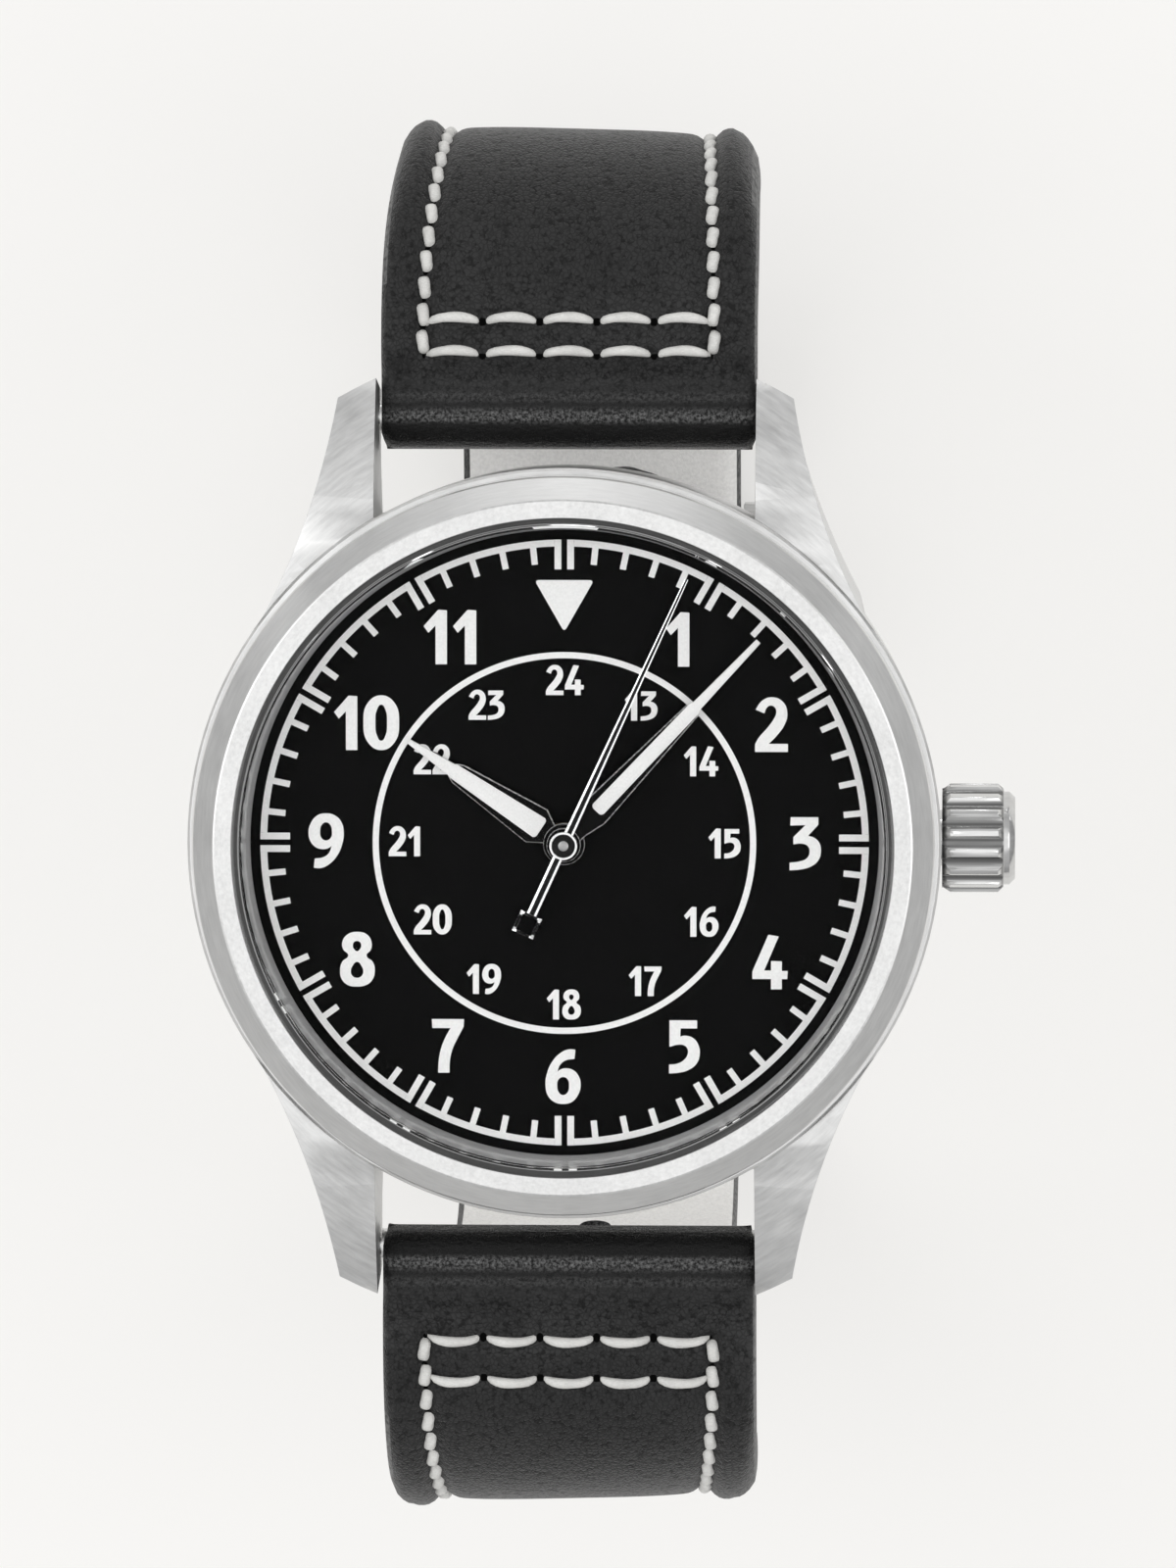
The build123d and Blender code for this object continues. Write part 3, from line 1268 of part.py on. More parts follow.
def strap_side(fall, turn):
    """Side view of a strap half from its bar to the end of its turn."""
    with BuildSketch() as side:
        with Locations((bar_y, bar_z)):
            Circle(strap_nose)
        Polygon((bar_y, bar_z - strap_nose), (lead_end, bar_z - strap_half_thick),
                (lead_end, bar_z + strap_half_thick), (bar_y, bar_z + strap_nose), align=None)
        bands = ((bend_centre, bend_radius, strap_half_thick, 90, 90 + lean),
                 (polar(-turn_radius, -lean, polar(fall, fall_angle, fall_start)), turn_radius,
                  strap_half_thin, -lean, turn))
        for centre, radius, half, start, sweep in bands:
            with BuildLine():
                outer = CenterArc(centre, radius + half, start, -sweep)
                inner = CenterArc(centre, radius - half, start, -sweep)
                Line(outer @ 0, inner @ 0)
                Line(outer @ 1, inner @ 1)
            make_face()
        thin_start = polar(thinning_length, fall_angle, fall_start)
        fall_end = polar(fall, fall_angle, fall_start)
        for top, top_half, low in ((fall_start, strap_half_thick, thin_start),
                                   (thin_start, strap_half_thin, fall_end)):
            Polygon(polar(top_half, -lean, top), polar(-top_half, -lean, top),
                    polar(-strap_half_thin, -lean, low), polar(strap_half_thin, -lean, low), align=None)
    return side.sketch


def taper_sketch(fall_end):
    """What is cut from both edges so that the strap narrows along its fall."""
    top = bend_centre[1]
    low = fall_end[1]
    with BuildSketch() as cut:
        for side in (1, -1):
            Polygon((side * strap_width / 2, top), (side * strap_width, top),
                    (side * strap_width, low - 2 * turn_radius),
                    (side * strap_end_width / 2, low - 2 * turn_radius),
                    (side * strap_end_width / 2, low), align=None)
    return cut.sketch


strap_span = bar_y + lead_length + bend_radius + strap_width
with BuildPart() as strap_buckle_half:
    with BuildSketch(Plane.YZ):
        add(strap_side(buckle_fall, 90 - lean))
        with Locations(buckle_bar_place):
            Circle(strap_half_thin)
            Rectangle(buckle_bar_set_back, 2 * strap_half_thin, align=(Align.MIN, Align.CENTER))
    extrude(amount=strap_width / 2, both=True)
    with BuildSketch(Plane.XZ):
        add(taper_sketch(buckle_fall_end))
    extrude(amount=strap_span, both=True, mode=Mode.SUBTRACT)
    with BuildSketch(Plane.YZ):
        with Locations((bar_y, bar_z)):
            Circle(bar_radius + strap_bore_clearance)
        with Locations(buckle_bar_place):
            Circle(buckle_bar_radius + strap_bore_clearance)
    extrude(amount=strap_width, both=True, mode=Mode.SUBTRACT)
    with BuildSketch(Plane.XY.offset(buckle_bar_place[1])):
        with Locations((0, buckle_bar_place[0] + tongue_slot_depth)):
            Rectangle(tongue_slot_width, tongue_slot_depth + 2 * strap_half_thin,
                      align=(Align.CENTER, Align.MAX))
    extrude(amount=2 * strap_half_thin, both=True, mode=Mode.SUBTRACT)
strap_buckle_half.part.label = "strap_buckle_half"
export_step(strap_buckle_half.part, "parts/strap_buckle_half.step")


def tail_place(from_tip):
    """Point of the tail's middle line and its outward direction, by the way from the tip."""
    if from_tip < swing_length:
        angle = tail_end_angle + degrees(from_tip / swing_radius)
        point = polar(swing_radius, angle, (bar_y, bar_z))
    else:
        angle = tail_turn_end + degrees((from_tip - swing_length) / turn_radius)
        point = polar(turn_radius, angle, tail_turn_centre)
    out = polar(1, angle)
    return (0, -point[0], point[1]), (0, -out[0], out[1])


tip_point, tip_out = tail_place(0)
with BuildPart() as strap_tail_half:
    with BuildSketch(Plane.YZ):
        mirror(strap_side(tail_fall, tail_turn), about=Plane.YZ)
        with BuildLine():
            outer = CenterArc((-bar_y, bar_z), swing_radius + strap_half_thin, 180 - tail_turn_end,
                              tail_swing)
            inner = CenterArc((-bar_y, bar_z), swing_radius - strap_half_thin, 180 - tail_turn_end,
                              tail_swing)
            Line(outer @ 0, inner @ 0)
            Line(outer @ 1, inner @ 1)
        make_face()
    extrude(amount=strap_width / 2, both=True)
    with BuildSketch(Plane.XZ):
        add(taper_sketch(tail_fall_end))
    extrude(amount=strap_span, both=True, mode=Mode.SUBTRACT)
    with BuildSketch(Plane.YZ):
        with Locations((-bar_y, bar_z)):
            Circle(bar_radius + strap_bore_clearance)
    extrude(amount=strap_width, both=True, mode=Mode.SUBTRACT)
    with BuildSketch(Plane(origin=tip_point, x_dir=(1, 0, 0), z_dir=tip_out)):
        Rectangle(2 * strap_width, 2 * tail_point_radius)
        for way in (1, -1):
            with Locations((0, way * tail_point_radius)):
                Circle(tail_point_radius, mode=Mode.SUBTRACT)
    extrude(amount=2 * strap_half_thin, both=True, mode=Mode.SUBTRACT)
    for hole in range(tail_hole_count):
        point, out = tail_place(tail_first_hole + hole * tail_hole_pitch)
        with Locations(Plane(origin=point, z_dir=out)):
            Cylinder(tail_hole_radius, 4 * strap_half_thin, mode=Mode.SUBTRACT)
strap_tail_half.part.label = "strap_tail_half"
export_step(strap_tail_half.part, "parts/strap_tail_half.step")

# Buckle: an open frame on a bar through the strap's end, with a tongue on the same bar
buckle_y, buckle_z = buckle_bar_place
buckle_half = buckle_inner_width / 2 + buckle_side_width
with BuildPart() as buckle_frame:
    with BuildSketch(Plane.XY.offset(buckle_z)):
        with Locations((0, buckle_y + buckle_eye_radius)):
            Rectangle(2 * buckle_half, buckle_eye_radius + buckle_reach, align=(Align.CENTER, Align.MAX))
            Rectangle(buckle_inner_width, buckle_eye_radius + buckle_reach - buckle_front_width,
                      align=(Align.CENTER, Align.MAX), mode=Mode.SUBTRACT)
    extrude(amount=buckle_thickness / 2, both=True)
    corners = buckle_frame.edges().filter_by(Axis.Z).group_by(Axis.Y)[0]
    fillet(corners, buckle_side_width)
    with BuildSketch(Plane.YZ):
        with Locations((buckle_y, buckle_z)):
            Circle(buckle_bar_radius)
    extrude(amount=2 * buckle_half, both=True, mode=Mode.SUBTRACT)
buckle_frame.part.label = "buckle_frame"
export_step(buckle_frame.part, "parts/buckle_frame.step")

with BuildPart() as buckle_bar:
    with BuildSketch(Plane.YZ):
        with Locations((buckle_y, buckle_z)):
            Circle(buckle_bar_radius)
    extrude(amount=buckle_half, both=True)
buckle_bar.part.label = "buckle_bar"
export_step(buckle_bar.part, "parts/buckle_bar.step")

tongue_top = -buckle_thickness / 2 - tongue_gap
with BuildPart() as buckle_tongue:
    with BuildSketch(Plane.YZ):
        with Locations((buckle_y, buckle_z)):
            Circle(buckle_eye_radius)
            with Locations((0, tongue_top)):
                Rectangle(buckle_reach + tongue_thickness / 2, tongue_thickness,
                          align=(Align.MAX, Align.MAX))
            Circle(buckle_bar_radius + strap_bore_clearance, mode=Mode.SUBTRACT)
    extrude(amount=tongue_width / 2, both=True)
buckle_tongue.part.label = "buckle_tongue"
export_step(buckle_tongue.part, "parts/buckle_tongue.step")

# Keepers: the fixed one by the buckle and the free one on the straight fall
fixed_angle = -lean - fixed_keeper_angle
free_keeper_top = polar(free_keeper_place - free_keeper_rise - keeper_length / 2, fall_angle, fall_start)
narrowed_share = (bend_centre[1] - free_keeper_top[1]) / (bend_centre[1] - buckle_fall_end[1])
width_at_free_keeper = strap_width + narrowed_share * (strap_end_width - strap_width)
keepers = (
    ("fixed_keeper", polar(turn_radius, fixed_angle, buckle_turn_centre), fixed_angle, strap_end_width),
    ("free_keeper", polar(free_keeper_place, fall_angle, fall_start), -lean,
     width_at_free_keeper),
)
for keeper_name, place, out_angle, width in keepers:
    out = polar(1, out_angle)
    inner_width = width + 2 * keeper_side_gap
    inner_height = 2 * strap_half_thin + keeper_gap + keeper_spare
    with BuildPart() as keeper:
        with BuildSketch(Plane(origin=(0, *place), x_dir=(0, *out), z_dir=(0, out[1], -out[0]))):
            with Locations(((keeper_spare - keeper_gap) / 2, 0)):
                Rectangle(inner_height + 2 * keeper_wall, inner_width + 2 * keeper_wall)
                Rectangle(inner_height, inner_width, mode=Mode.SUBTRACT)
        extrude(amount=keeper_length / 2, both=True)
    keeper.part.label = keeper_name
    export_step(keeper.part, f"parts/{keeper_name}.step")
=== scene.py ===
from math import asin, copysign, cos, degrees, exp, pi, radians, sin, sqrt

import bmesh
import bpy
from bpy.props import FloatProperty, FloatVectorProperty, IntProperty, PointerProperty
from mathutils import Matrix, Vector


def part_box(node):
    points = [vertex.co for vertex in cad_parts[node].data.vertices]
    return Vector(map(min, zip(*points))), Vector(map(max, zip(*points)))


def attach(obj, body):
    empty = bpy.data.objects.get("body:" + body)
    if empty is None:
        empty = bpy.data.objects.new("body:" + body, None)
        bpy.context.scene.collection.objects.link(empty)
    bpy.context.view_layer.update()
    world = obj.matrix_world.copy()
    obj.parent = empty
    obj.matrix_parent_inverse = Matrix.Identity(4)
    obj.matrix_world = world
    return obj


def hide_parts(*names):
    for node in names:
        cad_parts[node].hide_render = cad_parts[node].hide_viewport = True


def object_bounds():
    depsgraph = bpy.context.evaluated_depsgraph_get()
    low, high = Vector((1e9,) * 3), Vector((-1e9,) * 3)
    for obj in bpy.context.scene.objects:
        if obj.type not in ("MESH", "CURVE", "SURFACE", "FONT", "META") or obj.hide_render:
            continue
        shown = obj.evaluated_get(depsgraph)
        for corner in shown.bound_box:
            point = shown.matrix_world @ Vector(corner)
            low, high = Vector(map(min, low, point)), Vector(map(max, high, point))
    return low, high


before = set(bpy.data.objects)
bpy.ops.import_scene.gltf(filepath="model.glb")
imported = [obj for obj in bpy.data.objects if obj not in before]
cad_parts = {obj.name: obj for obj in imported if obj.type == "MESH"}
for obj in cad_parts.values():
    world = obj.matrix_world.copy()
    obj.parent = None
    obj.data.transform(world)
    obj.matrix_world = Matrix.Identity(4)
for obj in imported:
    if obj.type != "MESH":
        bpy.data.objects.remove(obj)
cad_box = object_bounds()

bl_info = {
    "name": "Pilot Watch Dressing",
    "version": (1, 0, 0),
    "blender": (4, 5, 0),
    "location": "View3D > Sidebar > Watch",
    "description": "Dresses the watch's solids: steel case, printed dial, hands, padded strap and stage",
    "category": "Object",
}

MM = 0.001


class StageSettings(bpy.types.PropertyGroup):
    """Floor, lamps and camera"""
    floor_colour: FloatVectorProperty(name="Floor", description="Pale colour of the floor", subtype="COLOR",
                                      size=3, min=0, max=1, default=(0.985, 0.976, 0.957))
    camera_distance: FloatProperty(name="Camera distance", description="From the camera to the dial",
                                   unit="LENGTH", default=0.6)
    tilt_up: FloatProperty(name="Tilt to 12", description="Lean of the camera towards 12 o'clock",
                           subtype="ANGLE", default=radians(5.5))
    tilt_right: FloatProperty(name="Tilt to 3", description="Lean of the camera towards the crown",
                              subtype="ANGLE", default=radians(2.0))
    frame_height: FloatProperty(name="Frame height", description="Height of the picture at the dial",
                                unit="LENGTH", default=0.08312)
    aim_right: FloatProperty(name="Aim right", description="Where the camera looks, from the hands' axis",
                             unit="LENGTH", default=0.00127)
    aim_up: FloatProperty(name="Aim up", description="Where the camera looks, from the hands' axis",
                          unit="LENGTH", default=0.00318)
    zenith: FloatProperty(name="Zenith", description="Brightness of the studio overhead", default=1.2)
    middle: FloatProperty(name="Middle", description="Brightness of the studio halfway up", default=0.66)
    horizon: FloatProperty(name="Horizon", description="Brightness of the studio at the sides", default=0.42)
    floor_glow: FloatProperty(name="Floor glow", description="Share of the floor that glows, where seen",
                              subtype="FACTOR", min=0, max=1, default=0.55)


class SteelSettings(bpy.types.PropertyGroup):
    """Steel of the case, crown and buckle"""
    steel_colour: FloatVectorProperty(name="Steel", description="Colour of the brushed steel",
                                      subtype="COLOR", size=3, min=0, max=1, default=(0.74, 0.74, 0.735))
    edge_break: FloatProperty(name="Edge break", description="Width of the softened case edges",
                              unit="LENGTH", default=0.00009)
    crown_break: FloatProperty(name="Crown edge break", description="Width of the softened crown edges",
                               unit="LENGTH", default=0.00005)


class DialSettings(bpy.types.PropertyGroup):
    """Printing on the dial"""
    print_colour: FloatVectorProperty(name="Print", description="Colour of the luminous print",
                                      subtype="COLOR", size=3, min=0, max=1, default=(0.96, 0.96, 0.95))
    print_height: FloatProperty(name="Print height", description="How far the print stands up",
                                unit="LENGTH", default=0.00003)
    track_radius: FloatProperty(name="Track radius", description="Outside of the minute track",
                                unit="LENGTH", default=0.01615)
    track_line: FloatProperty(name="Track line", description="Width of the track's lines",
                              unit="LENGTH", default=0.00036)
    bar_length: FloatProperty(name="Five minute bar", description="Length of the bars at the hours",
                              unit="LENGTH", default=0.00158)
    bar_gap: FloatProperty(name="Bar gap", description="Gap between the two bars at each hour",
                           unit="LENGTH", default=0.00031)
    tick_length: FloatProperty(name="Minute tick", description="Length of the ticks between the bars",
                               unit="LENGTH", default=0.00126)
    ring_radius: FloatProperty(name="Inner ring", description="Outside of the ring round the 24 hours",
                               unit="LENGTH", default=0.01018)
    hour_height: FloatProperty(name="Hour numeral", description="Height of the hour numerals",
                               unit="LENGTH", default=0.0029)
    small_height: FloatProperty(name="24 hour numeral", description="Height of the 24 hour numerals",
                                unit="LENGTH", default=0.0016)


class HandSettings(bpy.types.PropertyGroup):
    """Hands"""
    frame_colour: FloatVectorProperty(name="Frame", description="Colour of the black frames",
                                      subtype="COLOR", size=3, min=0, max=1, default=(0.003, 0.003, 0.003))
    edge_width: FloatProperty(name="Edge", description="Width of the polished edges",
                              unit="LENGTH", default=0.00006)


class StrapSettings(bpy.types.PropertyGroup):
    """Leather and thread of the strap"""
    leather_colour: FloatVectorProperty(name="Leather", description="Colour of the strap's face",
                                        subtype="COLOR", size=3, min=0, max=1, default=(0.02, 0.02, 0.0202))
    lining_colour: FloatVectorProperty(name="Lining", description="Colour of the lining",
                                       subtype="COLOR", size=3, min=0, max=1, default=(0.9, 0.89, 0.87))
    thread_colour: FloatVectorProperty(name="Thread", description="Colour of the thread",
                                       subtype="COLOR", size=3, min=0, max=1, default=(0.78, 0.775, 0.75))
    crown_height: FloatProperty(name="Padding", description="How far the padding puffs up",
                                unit="LENGTH", default=0.00022)
    groove_depth: FloatProperty(name="Groove", description="How deep the stitching pulls the leather",
                                unit="LENGTH", default=0.0004)
    flare: FloatProperty(name="Flare", description="How far the margins stand up over the bend",
                         unit="LENGTH", default=0.00036)
    thread_width: FloatProperty(name="Thread width", description="Thickness of the thread",
                                unit="LENGTH", default=0.0007)
    edge_pitch: FloatProperty(name="Edge stitch", description="Length of a stitch along the edges",
                              unit="LENGTH", default=0.00152)
    stitches_across: IntProperty(name="Stitches across", description="Stitches in each row by the lugs",
                                 default=5)


# Nodes and materials

def put(tree, kind, sources=None, **values):
    """A node with its values set and its inputs linked or filled"""
    made = tree.nodes.new(kind)
    for name, value in values.items():
        setattr(made, name, value)
    for name, source in (sources or {}).items():
        if isinstance(source, bpy.types.NodeSocket):
            tree.links.new(source, made.inputs[name])
        else:
            made.inputs[name].default_value = source
    return made


def calc(tree, operation, *sources):
    """Output of a Math node"""
    return put(tree, "ShaderNodeMath", dict(enumerate(sources)), operation=operation).outputs[0]


def ramp(tree, value, low, high, to_low, to_high, smooth=False):
    """Output of a Map Range node"""
    return put(tree, "ShaderNodeMapRange",
               {"Value": value, "From Min": low, "From Max": high, "To Min": to_low, "To Max": to_high},
               interpolation_type="SMOOTHSTEP" if smooth else "LINEAR").outputs["Result"]


def blend_colours(tree, factor, first, second, mode="MIX"):
    """Output of a colour Mix node"""
    made = tree.nodes.new("ShaderNodeMix")
    made.data_type = "RGBA"
    made.blend_type = mode
    for place, source in ((0, factor), (6, first), (7, second)):
        if isinstance(source, bpy.types.NodeSocket):
            tree.links.new(source, made.inputs[place])
        else:
            made.inputs[place].default_value = source if place == 0 else (*source[:3], 1)
    return made.outputs[2]


def product(tree, first, second):
    return calc(tree, "MULTIPLY", first, second)


def noise(tree, vector, scale, detail=2.0, roughness=0.5):
    """Output of a noise texture"""
    return put(tree, "ShaderNodeTexNoise", {"Vector": vector, "Scale": scale, "Detail": detail,
                                            "Roughness": roughness}).outputs["Fac"]


def start_group(name, settings, outputs=("Shade", "Roughness", "Height")):
    """An empty node group with its sockets, and its input and output nodes"""
    tree = bpy.data.node_groups.new(name, "ShaderNodeTree")
    tree.interface.new_socket(name="Vector", in_out="INPUT", socket_type="NodeSocketVector")
    for socket, value in settings.items():
        made = tree.interface.new_socket(name=socket, in_out="INPUT", socket_type="NodeSocketFloat")
        made.default_value = value
    for socket in outputs:
        tree.interface.new_socket(name=socket, in_out="OUTPUT", socket_type="NodeSocketFloat")
    return tree, tree.nodes.new("NodeGroupInput").outputs, tree.nodes.new("NodeGroupOutput").inputs


def grouped(make):
    """Makes a node group on the first call and gives the same one back on later calls"""
    def give():
        name = make.__name__.replace("_", " ").title()
        return bpy.data.node_groups.get(name) or make(name)
    return give


@grouped
def ring_brushing(name):
    """Streaks that run round the hands' axis, as a lathe leaves them"""
    tree, given, result = start_group(
        name, {"Density": 5200.0, "Length": 14.0, "Shine Low": 0.28, "Shine High": 0.46, "Depth": 0.78})
    parts = put(tree, "ShaderNodeSeparateXYZ", {"Vector": given["Vector"]}).outputs
    squares = calc(tree, "ADD", product(tree, parts["X"], parts["X"]), product(tree, parts["Y"], parts["Y"]))
    radius = calc(tree, "MAXIMUM", calc(tree, "SQRT", squares), 0.0001)
    outward = calc(tree, "ADD", radius, product(tree, parts["Z"], 0.4))
    around = put(tree, "ShaderNodeCombineXYZ", {
        "X": product(tree, outward, given["Density"]),
        "Y": product(tree, calc(tree, "DIVIDE", parts["X"], radius), given["Length"]),
        "Z": product(tree, calc(tree, "DIVIDE", parts["Y"], radius), given["Length"])}).outputs[0]
    fine = noise(tree, around, 1.0, 4.0, 0.65)
    cloud = noise(tree, given["Vector"], 420.0, 2.0)
    both = calc(tree, "ADD", product(tree, fine, 0.7), product(tree, cloud, 0.3))
    tree.links.new(ramp(tree, both, 0.32, 0.68, given["Depth"], 1.04), result["Shade"])
    tree.links.new(ramp(tree, both, 0.3, 0.7, given["Shine Low"], given["Shine High"]), result["Roughness"])
    tree.links.new(fine, result["Height"])
    return tree


@grouped
def straight_brushing(name):
    """Streaks along the vector's X, as a belt leaves them"""
    tree, given, result = start_group(name, {"Density": 8000.0, "Shine Low": 0.25, "Shine High": 0.4})
    parts = put(tree, "ShaderNodeSeparateXYZ", {"Vector": given["Vector"]}).outputs
    streak = put(tree, "ShaderNodeCombineXYZ", {
        "X": product(tree, parts["X"], 400.0),
        "Y": product(tree, parts["Y"], given["Density"]),
        "Z": product(tree, parts["Z"], given["Density"])}).outputs[0]
    fine = noise(tree, streak, 1.0, 3.0, 0.6)
    tree.links.new(ramp(tree, fine, 0.3, 0.7, 0.84, 1.0), result["Shade"])
    tree.links.new(ramp(tree, fine, 0.3, 0.7, given["Shine Low"], given["Shine High"]), result["Roughness"])
    tree.links.new(fine, result["Height"])
    return tree


@grouped
def leather_grain(name):
    """Pebbled grain with pores and soft clouds of shade"""
    tree, given, result = start_group(name, {"Pebbles": 3600.0, "Creasing": 0.0})
    warp = put(tree, "ShaderNodeTexNoise", {"Vector": given["Vector"], "Scale": 1500.0}).outputs["Color"]
    shift = put(tree, "ShaderNodeVectorMath", {0: warp, 1: (0.00025,) * 3}, operation="MULTIPLY").outputs[0]
    bent = put(tree, "ShaderNodeVectorMath", {0: given["Vector"], 1: shift}, operation="ADD").outputs[0]
    cells = put(tree, "ShaderNodeTexVoronoi", {"Vector": bent, "Scale": given["Pebbles"]},
                feature="DISTANCE_TO_EDGE").outputs["Distance"]
    pebble = ramp(tree, cells, 0.0, 0.22, 0.0, 1.0, smooth=True)
    pore = ramp(tree, noise(tree, given["Vector"], 2600.0, 3.0, 0.6), 0.36, 0.5, 0.0, 1.0, smooth=True)
    drawn_out = put(tree, "ShaderNodeMapping", {
        "Vector": given["Vector"], "Scale": (0.45, 1.0, 1.0)}).outputs[0]
    creased = product(tree, noise(tree, drawn_out, 4200.0, 4.0, 0.7), 2.4)
    skin = calc(tree, "ADD", product(tree, pebble, 0.45), product(tree, pore, 0.55))
    flat = calc(tree, "SUBTRACT", 1.0, given["Creasing"])
    height = calc(tree, "ADD", product(tree, skin, flat), product(tree, creased, given["Creasing"]))
    cloud = noise(tree, given["Vector"], 260.0, 3.0)
    tree.links.new(height, result["Height"])
    tree.links.new(product(tree, ramp(tree, cloud, 0.3, 0.7, 0.85, 1.15),
                           ramp(tree, skin, 0.2, 1.0, 0.3, 1.25)), result["Shade"])
    tree.links.new(calc(tree, "ADD", ramp(tree, skin, 0.2, 1.0, 0.62, 0.46),
                        product(tree, given["Creasing"], -0.22)), result["Roughness"])
    return tree


@grouped
def thread_twist(name):
    """Plies of a twisted thread, with a little fuzz"""
    tree, given, result = start_group(name, {}, ("Shade", "Height"))
    twisted = put(tree, "ShaderNodeMapping", {
        "Vector": given["Vector"], "Rotation": (0, 0, radians(35)), "Scale": (1.0, 4.0, 2.0)}).outputs[0]
    fibre = noise(tree, twisted, 5200.0, 3.0, 0.7)
    soil = noise(tree, given["Vector"], 900.0, 2.0)
    tree.links.new(product(tree, ramp(tree, fibre, 0.3, 0.7, 0.82, 1.05),
                           ramp(tree, soil, 0.35, 0.7, 1.03, 0.88)), result["Shade"])
    tree.links.new(fibre, result["Height"])
    return tree


def plain_material(name, colour, roughness, metallic=0.0, **sockets):
    """A material with its colour and shine on the shader, and its tree"""
    material = bpy.data.materials.new(name)
    material.use_nodes = True
    material.diffuse_color = (*colour, 1)
    shader = material.node_tree.nodes["Principled BSDF"]
    shader.inputs["Base Color"].default_value = (*colour, 1)
    shader.inputs["Roughness"].default_value = roughness
    shader.inputs["Metallic"].default_value = metallic
    for socket, value in sockets.items():
        shader.inputs[socket.replace("_", " ").title().replace("Ior", "IOR")].default_value = value
    return material


def place_vector(tree):
    """Object coordinates, in metres"""
    return put(tree, "ShaderNodeTexCoord").outputs["Object"]


def feed(tree, name, source):
    """Links a source to an input of the material's shader"""
    tree.links.new(source, tree.nodes["Principled BSDF"].inputs[name])


def fed(tree, name):
    """The source linked to an input of the material's shader"""
    return tree.nodes["Principled BSDF"].inputs[name].links[0].from_socket


def relief(tree, height, distance):
    """Raises the surface by a height, at most by a distance"""
    feed(tree, "Normal", put(tree, "ShaderNodeBump", {
        "Height": height, "Strength": 1.0, "Distance": distance}).outputs[0])


def shaded(tree, colour, level):
    """A colour darkened by a grey level"""
    grey = put(tree, "ShaderNodeCombineColor", {"Red": level, "Green": level, "Blue": level}).outputs[0]
    return blend_colours(tree, 1.0, colour, grey, "MULTIPLY")


def speckle(scale, detail, low, high):
    """A shade of faint spots, for grain_material"""
    return lambda tree: ramp(tree, noise(tree, place_vector(tree), scale, detail), 0.3, 0.7, low, high)


def grain_material(name, colour, group, bump, metallic=0.0, settings=None, shade=None, **sockets):
    """A material whose shade, shine and relief come from a group, or its shade from a function"""
    material = plain_material(name, colour, 0.4, metallic, **sockets)
    tree = material.node_tree
    grain = put(tree, "ShaderNodeGroup", node_tree=group)
    tree.links.new(place_vector(tree), grain.inputs["Vector"])
    for socket, value in (settings or {}).items():
        grain.inputs[socket].default_value = value
    feed(tree, "Base Color", shaded(tree, colour, shade(tree) if shade else grain.outputs["Shade"]))
    if "Roughness" in grain.outputs:
        feed(tree, "Roughness", grain.outputs["Roughness"])
    relief(tree, grain.outputs["Height"], bump)
    return material


def known(name, make):
    """The material of that name, made when first asked for"""
    return bpy.data.materials.get(name) or make(name)


STEELS = {
    "Ring brushed steel": (ring_brushing, 0.000004, {}),
    "Short brushed steel": (ring_brushing, 0.000003, {"Length": 70.0, "Depth": 0.8}),
    "Satin steel": (ring_brushing, 0.000001, {
        "Density": 14000.0, "Shine Low": 0.28, "Shine High": 0.36, "Depth": 0.9}),
    "Belt brushed steel": (straight_brushing, 0.000003, {}),
    "Polished steel": (straight_brushing, 0.0000006, {
        "Density": 3000.0, "Shine Low": 0.1, "Shine High": 0.22}),
    "Crown steel": (straight_brushing, 0.0000006, {"Density": 3000.0, "Shine Low": 0.1, "Shine High": 0.2}),
}


def steel(name):
    """One of the steels above"""
    group, bump, settings = STEELS[name]
    colour = bpy.context.scene.watch_steel.steel_colour[:]
    return known(name, lambda n: grain_material(n, colour, group(), bump, 1.0, settings))


def luminous_print():
    colour = bpy.context.scene.watch_dial.print_colour[:]
    return known("Luminous print", lambda n: grain_material(
        n, colour, leather_grain(), 0.000002, settings={"Pebbles": 12000.0},
        shade=speckle(9000.0, 2.0, 0.93, 1.02)))


# Meshes

def to_mesh(shape, name):
    """A bmesh as a mesh"""
    mesh = bpy.data.meshes.new(name)
    shape.to_mesh(mesh)
    shape.free()
    return mesh


def add_object(name, data):
    """A new object in the scene"""
    made = bpy.data.objects.new(name, data)
    bpy.context.scene.collection.objects.link(made)
    return made


def evaluated_mesh(thing):
    """A mesh of an object, its modifiers and curve settings included"""
    bpy.context.view_layer.update()
    return bpy.data.meshes.new_from_object(thing.evaluated_get(bpy.context.evaluated_depsgraph_get()))


def finish_piece(name, shape, body, materials, smooth=32.0, node=None):
    """Turns a bmesh in millimetres into a piece that rides on a body, in place of a node if one is given"""
    bmesh.ops.scale(shape, vec=(MM, MM, MM), verts=shape.verts)
    bmesh.ops.recalc_face_normals(shape, faces=shape.faces)
    mesh = to_mesh(shape, name)
    for material in materials:
        mesh.materials.append(material)
    mesh.shade_smooth()
    mesh.set_sharp_from_angle(angle=radians(smooth))
    piece = add_object(name, mesh)
    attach(piece, body)
    if node:
        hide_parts(node)
    return piece


def prism(shape, outline, low, high):
    """An upright block from a flat outline; gives back its vertices"""
    face = shape.faces.new([shape.verts.new((x, y, low)) for x, y in outline])
    made = bmesh.ops.extrude_face_region(shape, geom=[face])["geom"]
    top = [v for v in made if isinstance(v, bmesh.types.BMVert)]
    bmesh.ops.translate(shape, verts=top, vec=(0, 0, high - low))
    return list(face.verts) + top


def slab(shape, left, right, near, far, low, high):
    """A rectangular block; gives back its vertices"""
    return prism(shape, [(left, near), (right, near), (right, far), (left, far)], low, high)


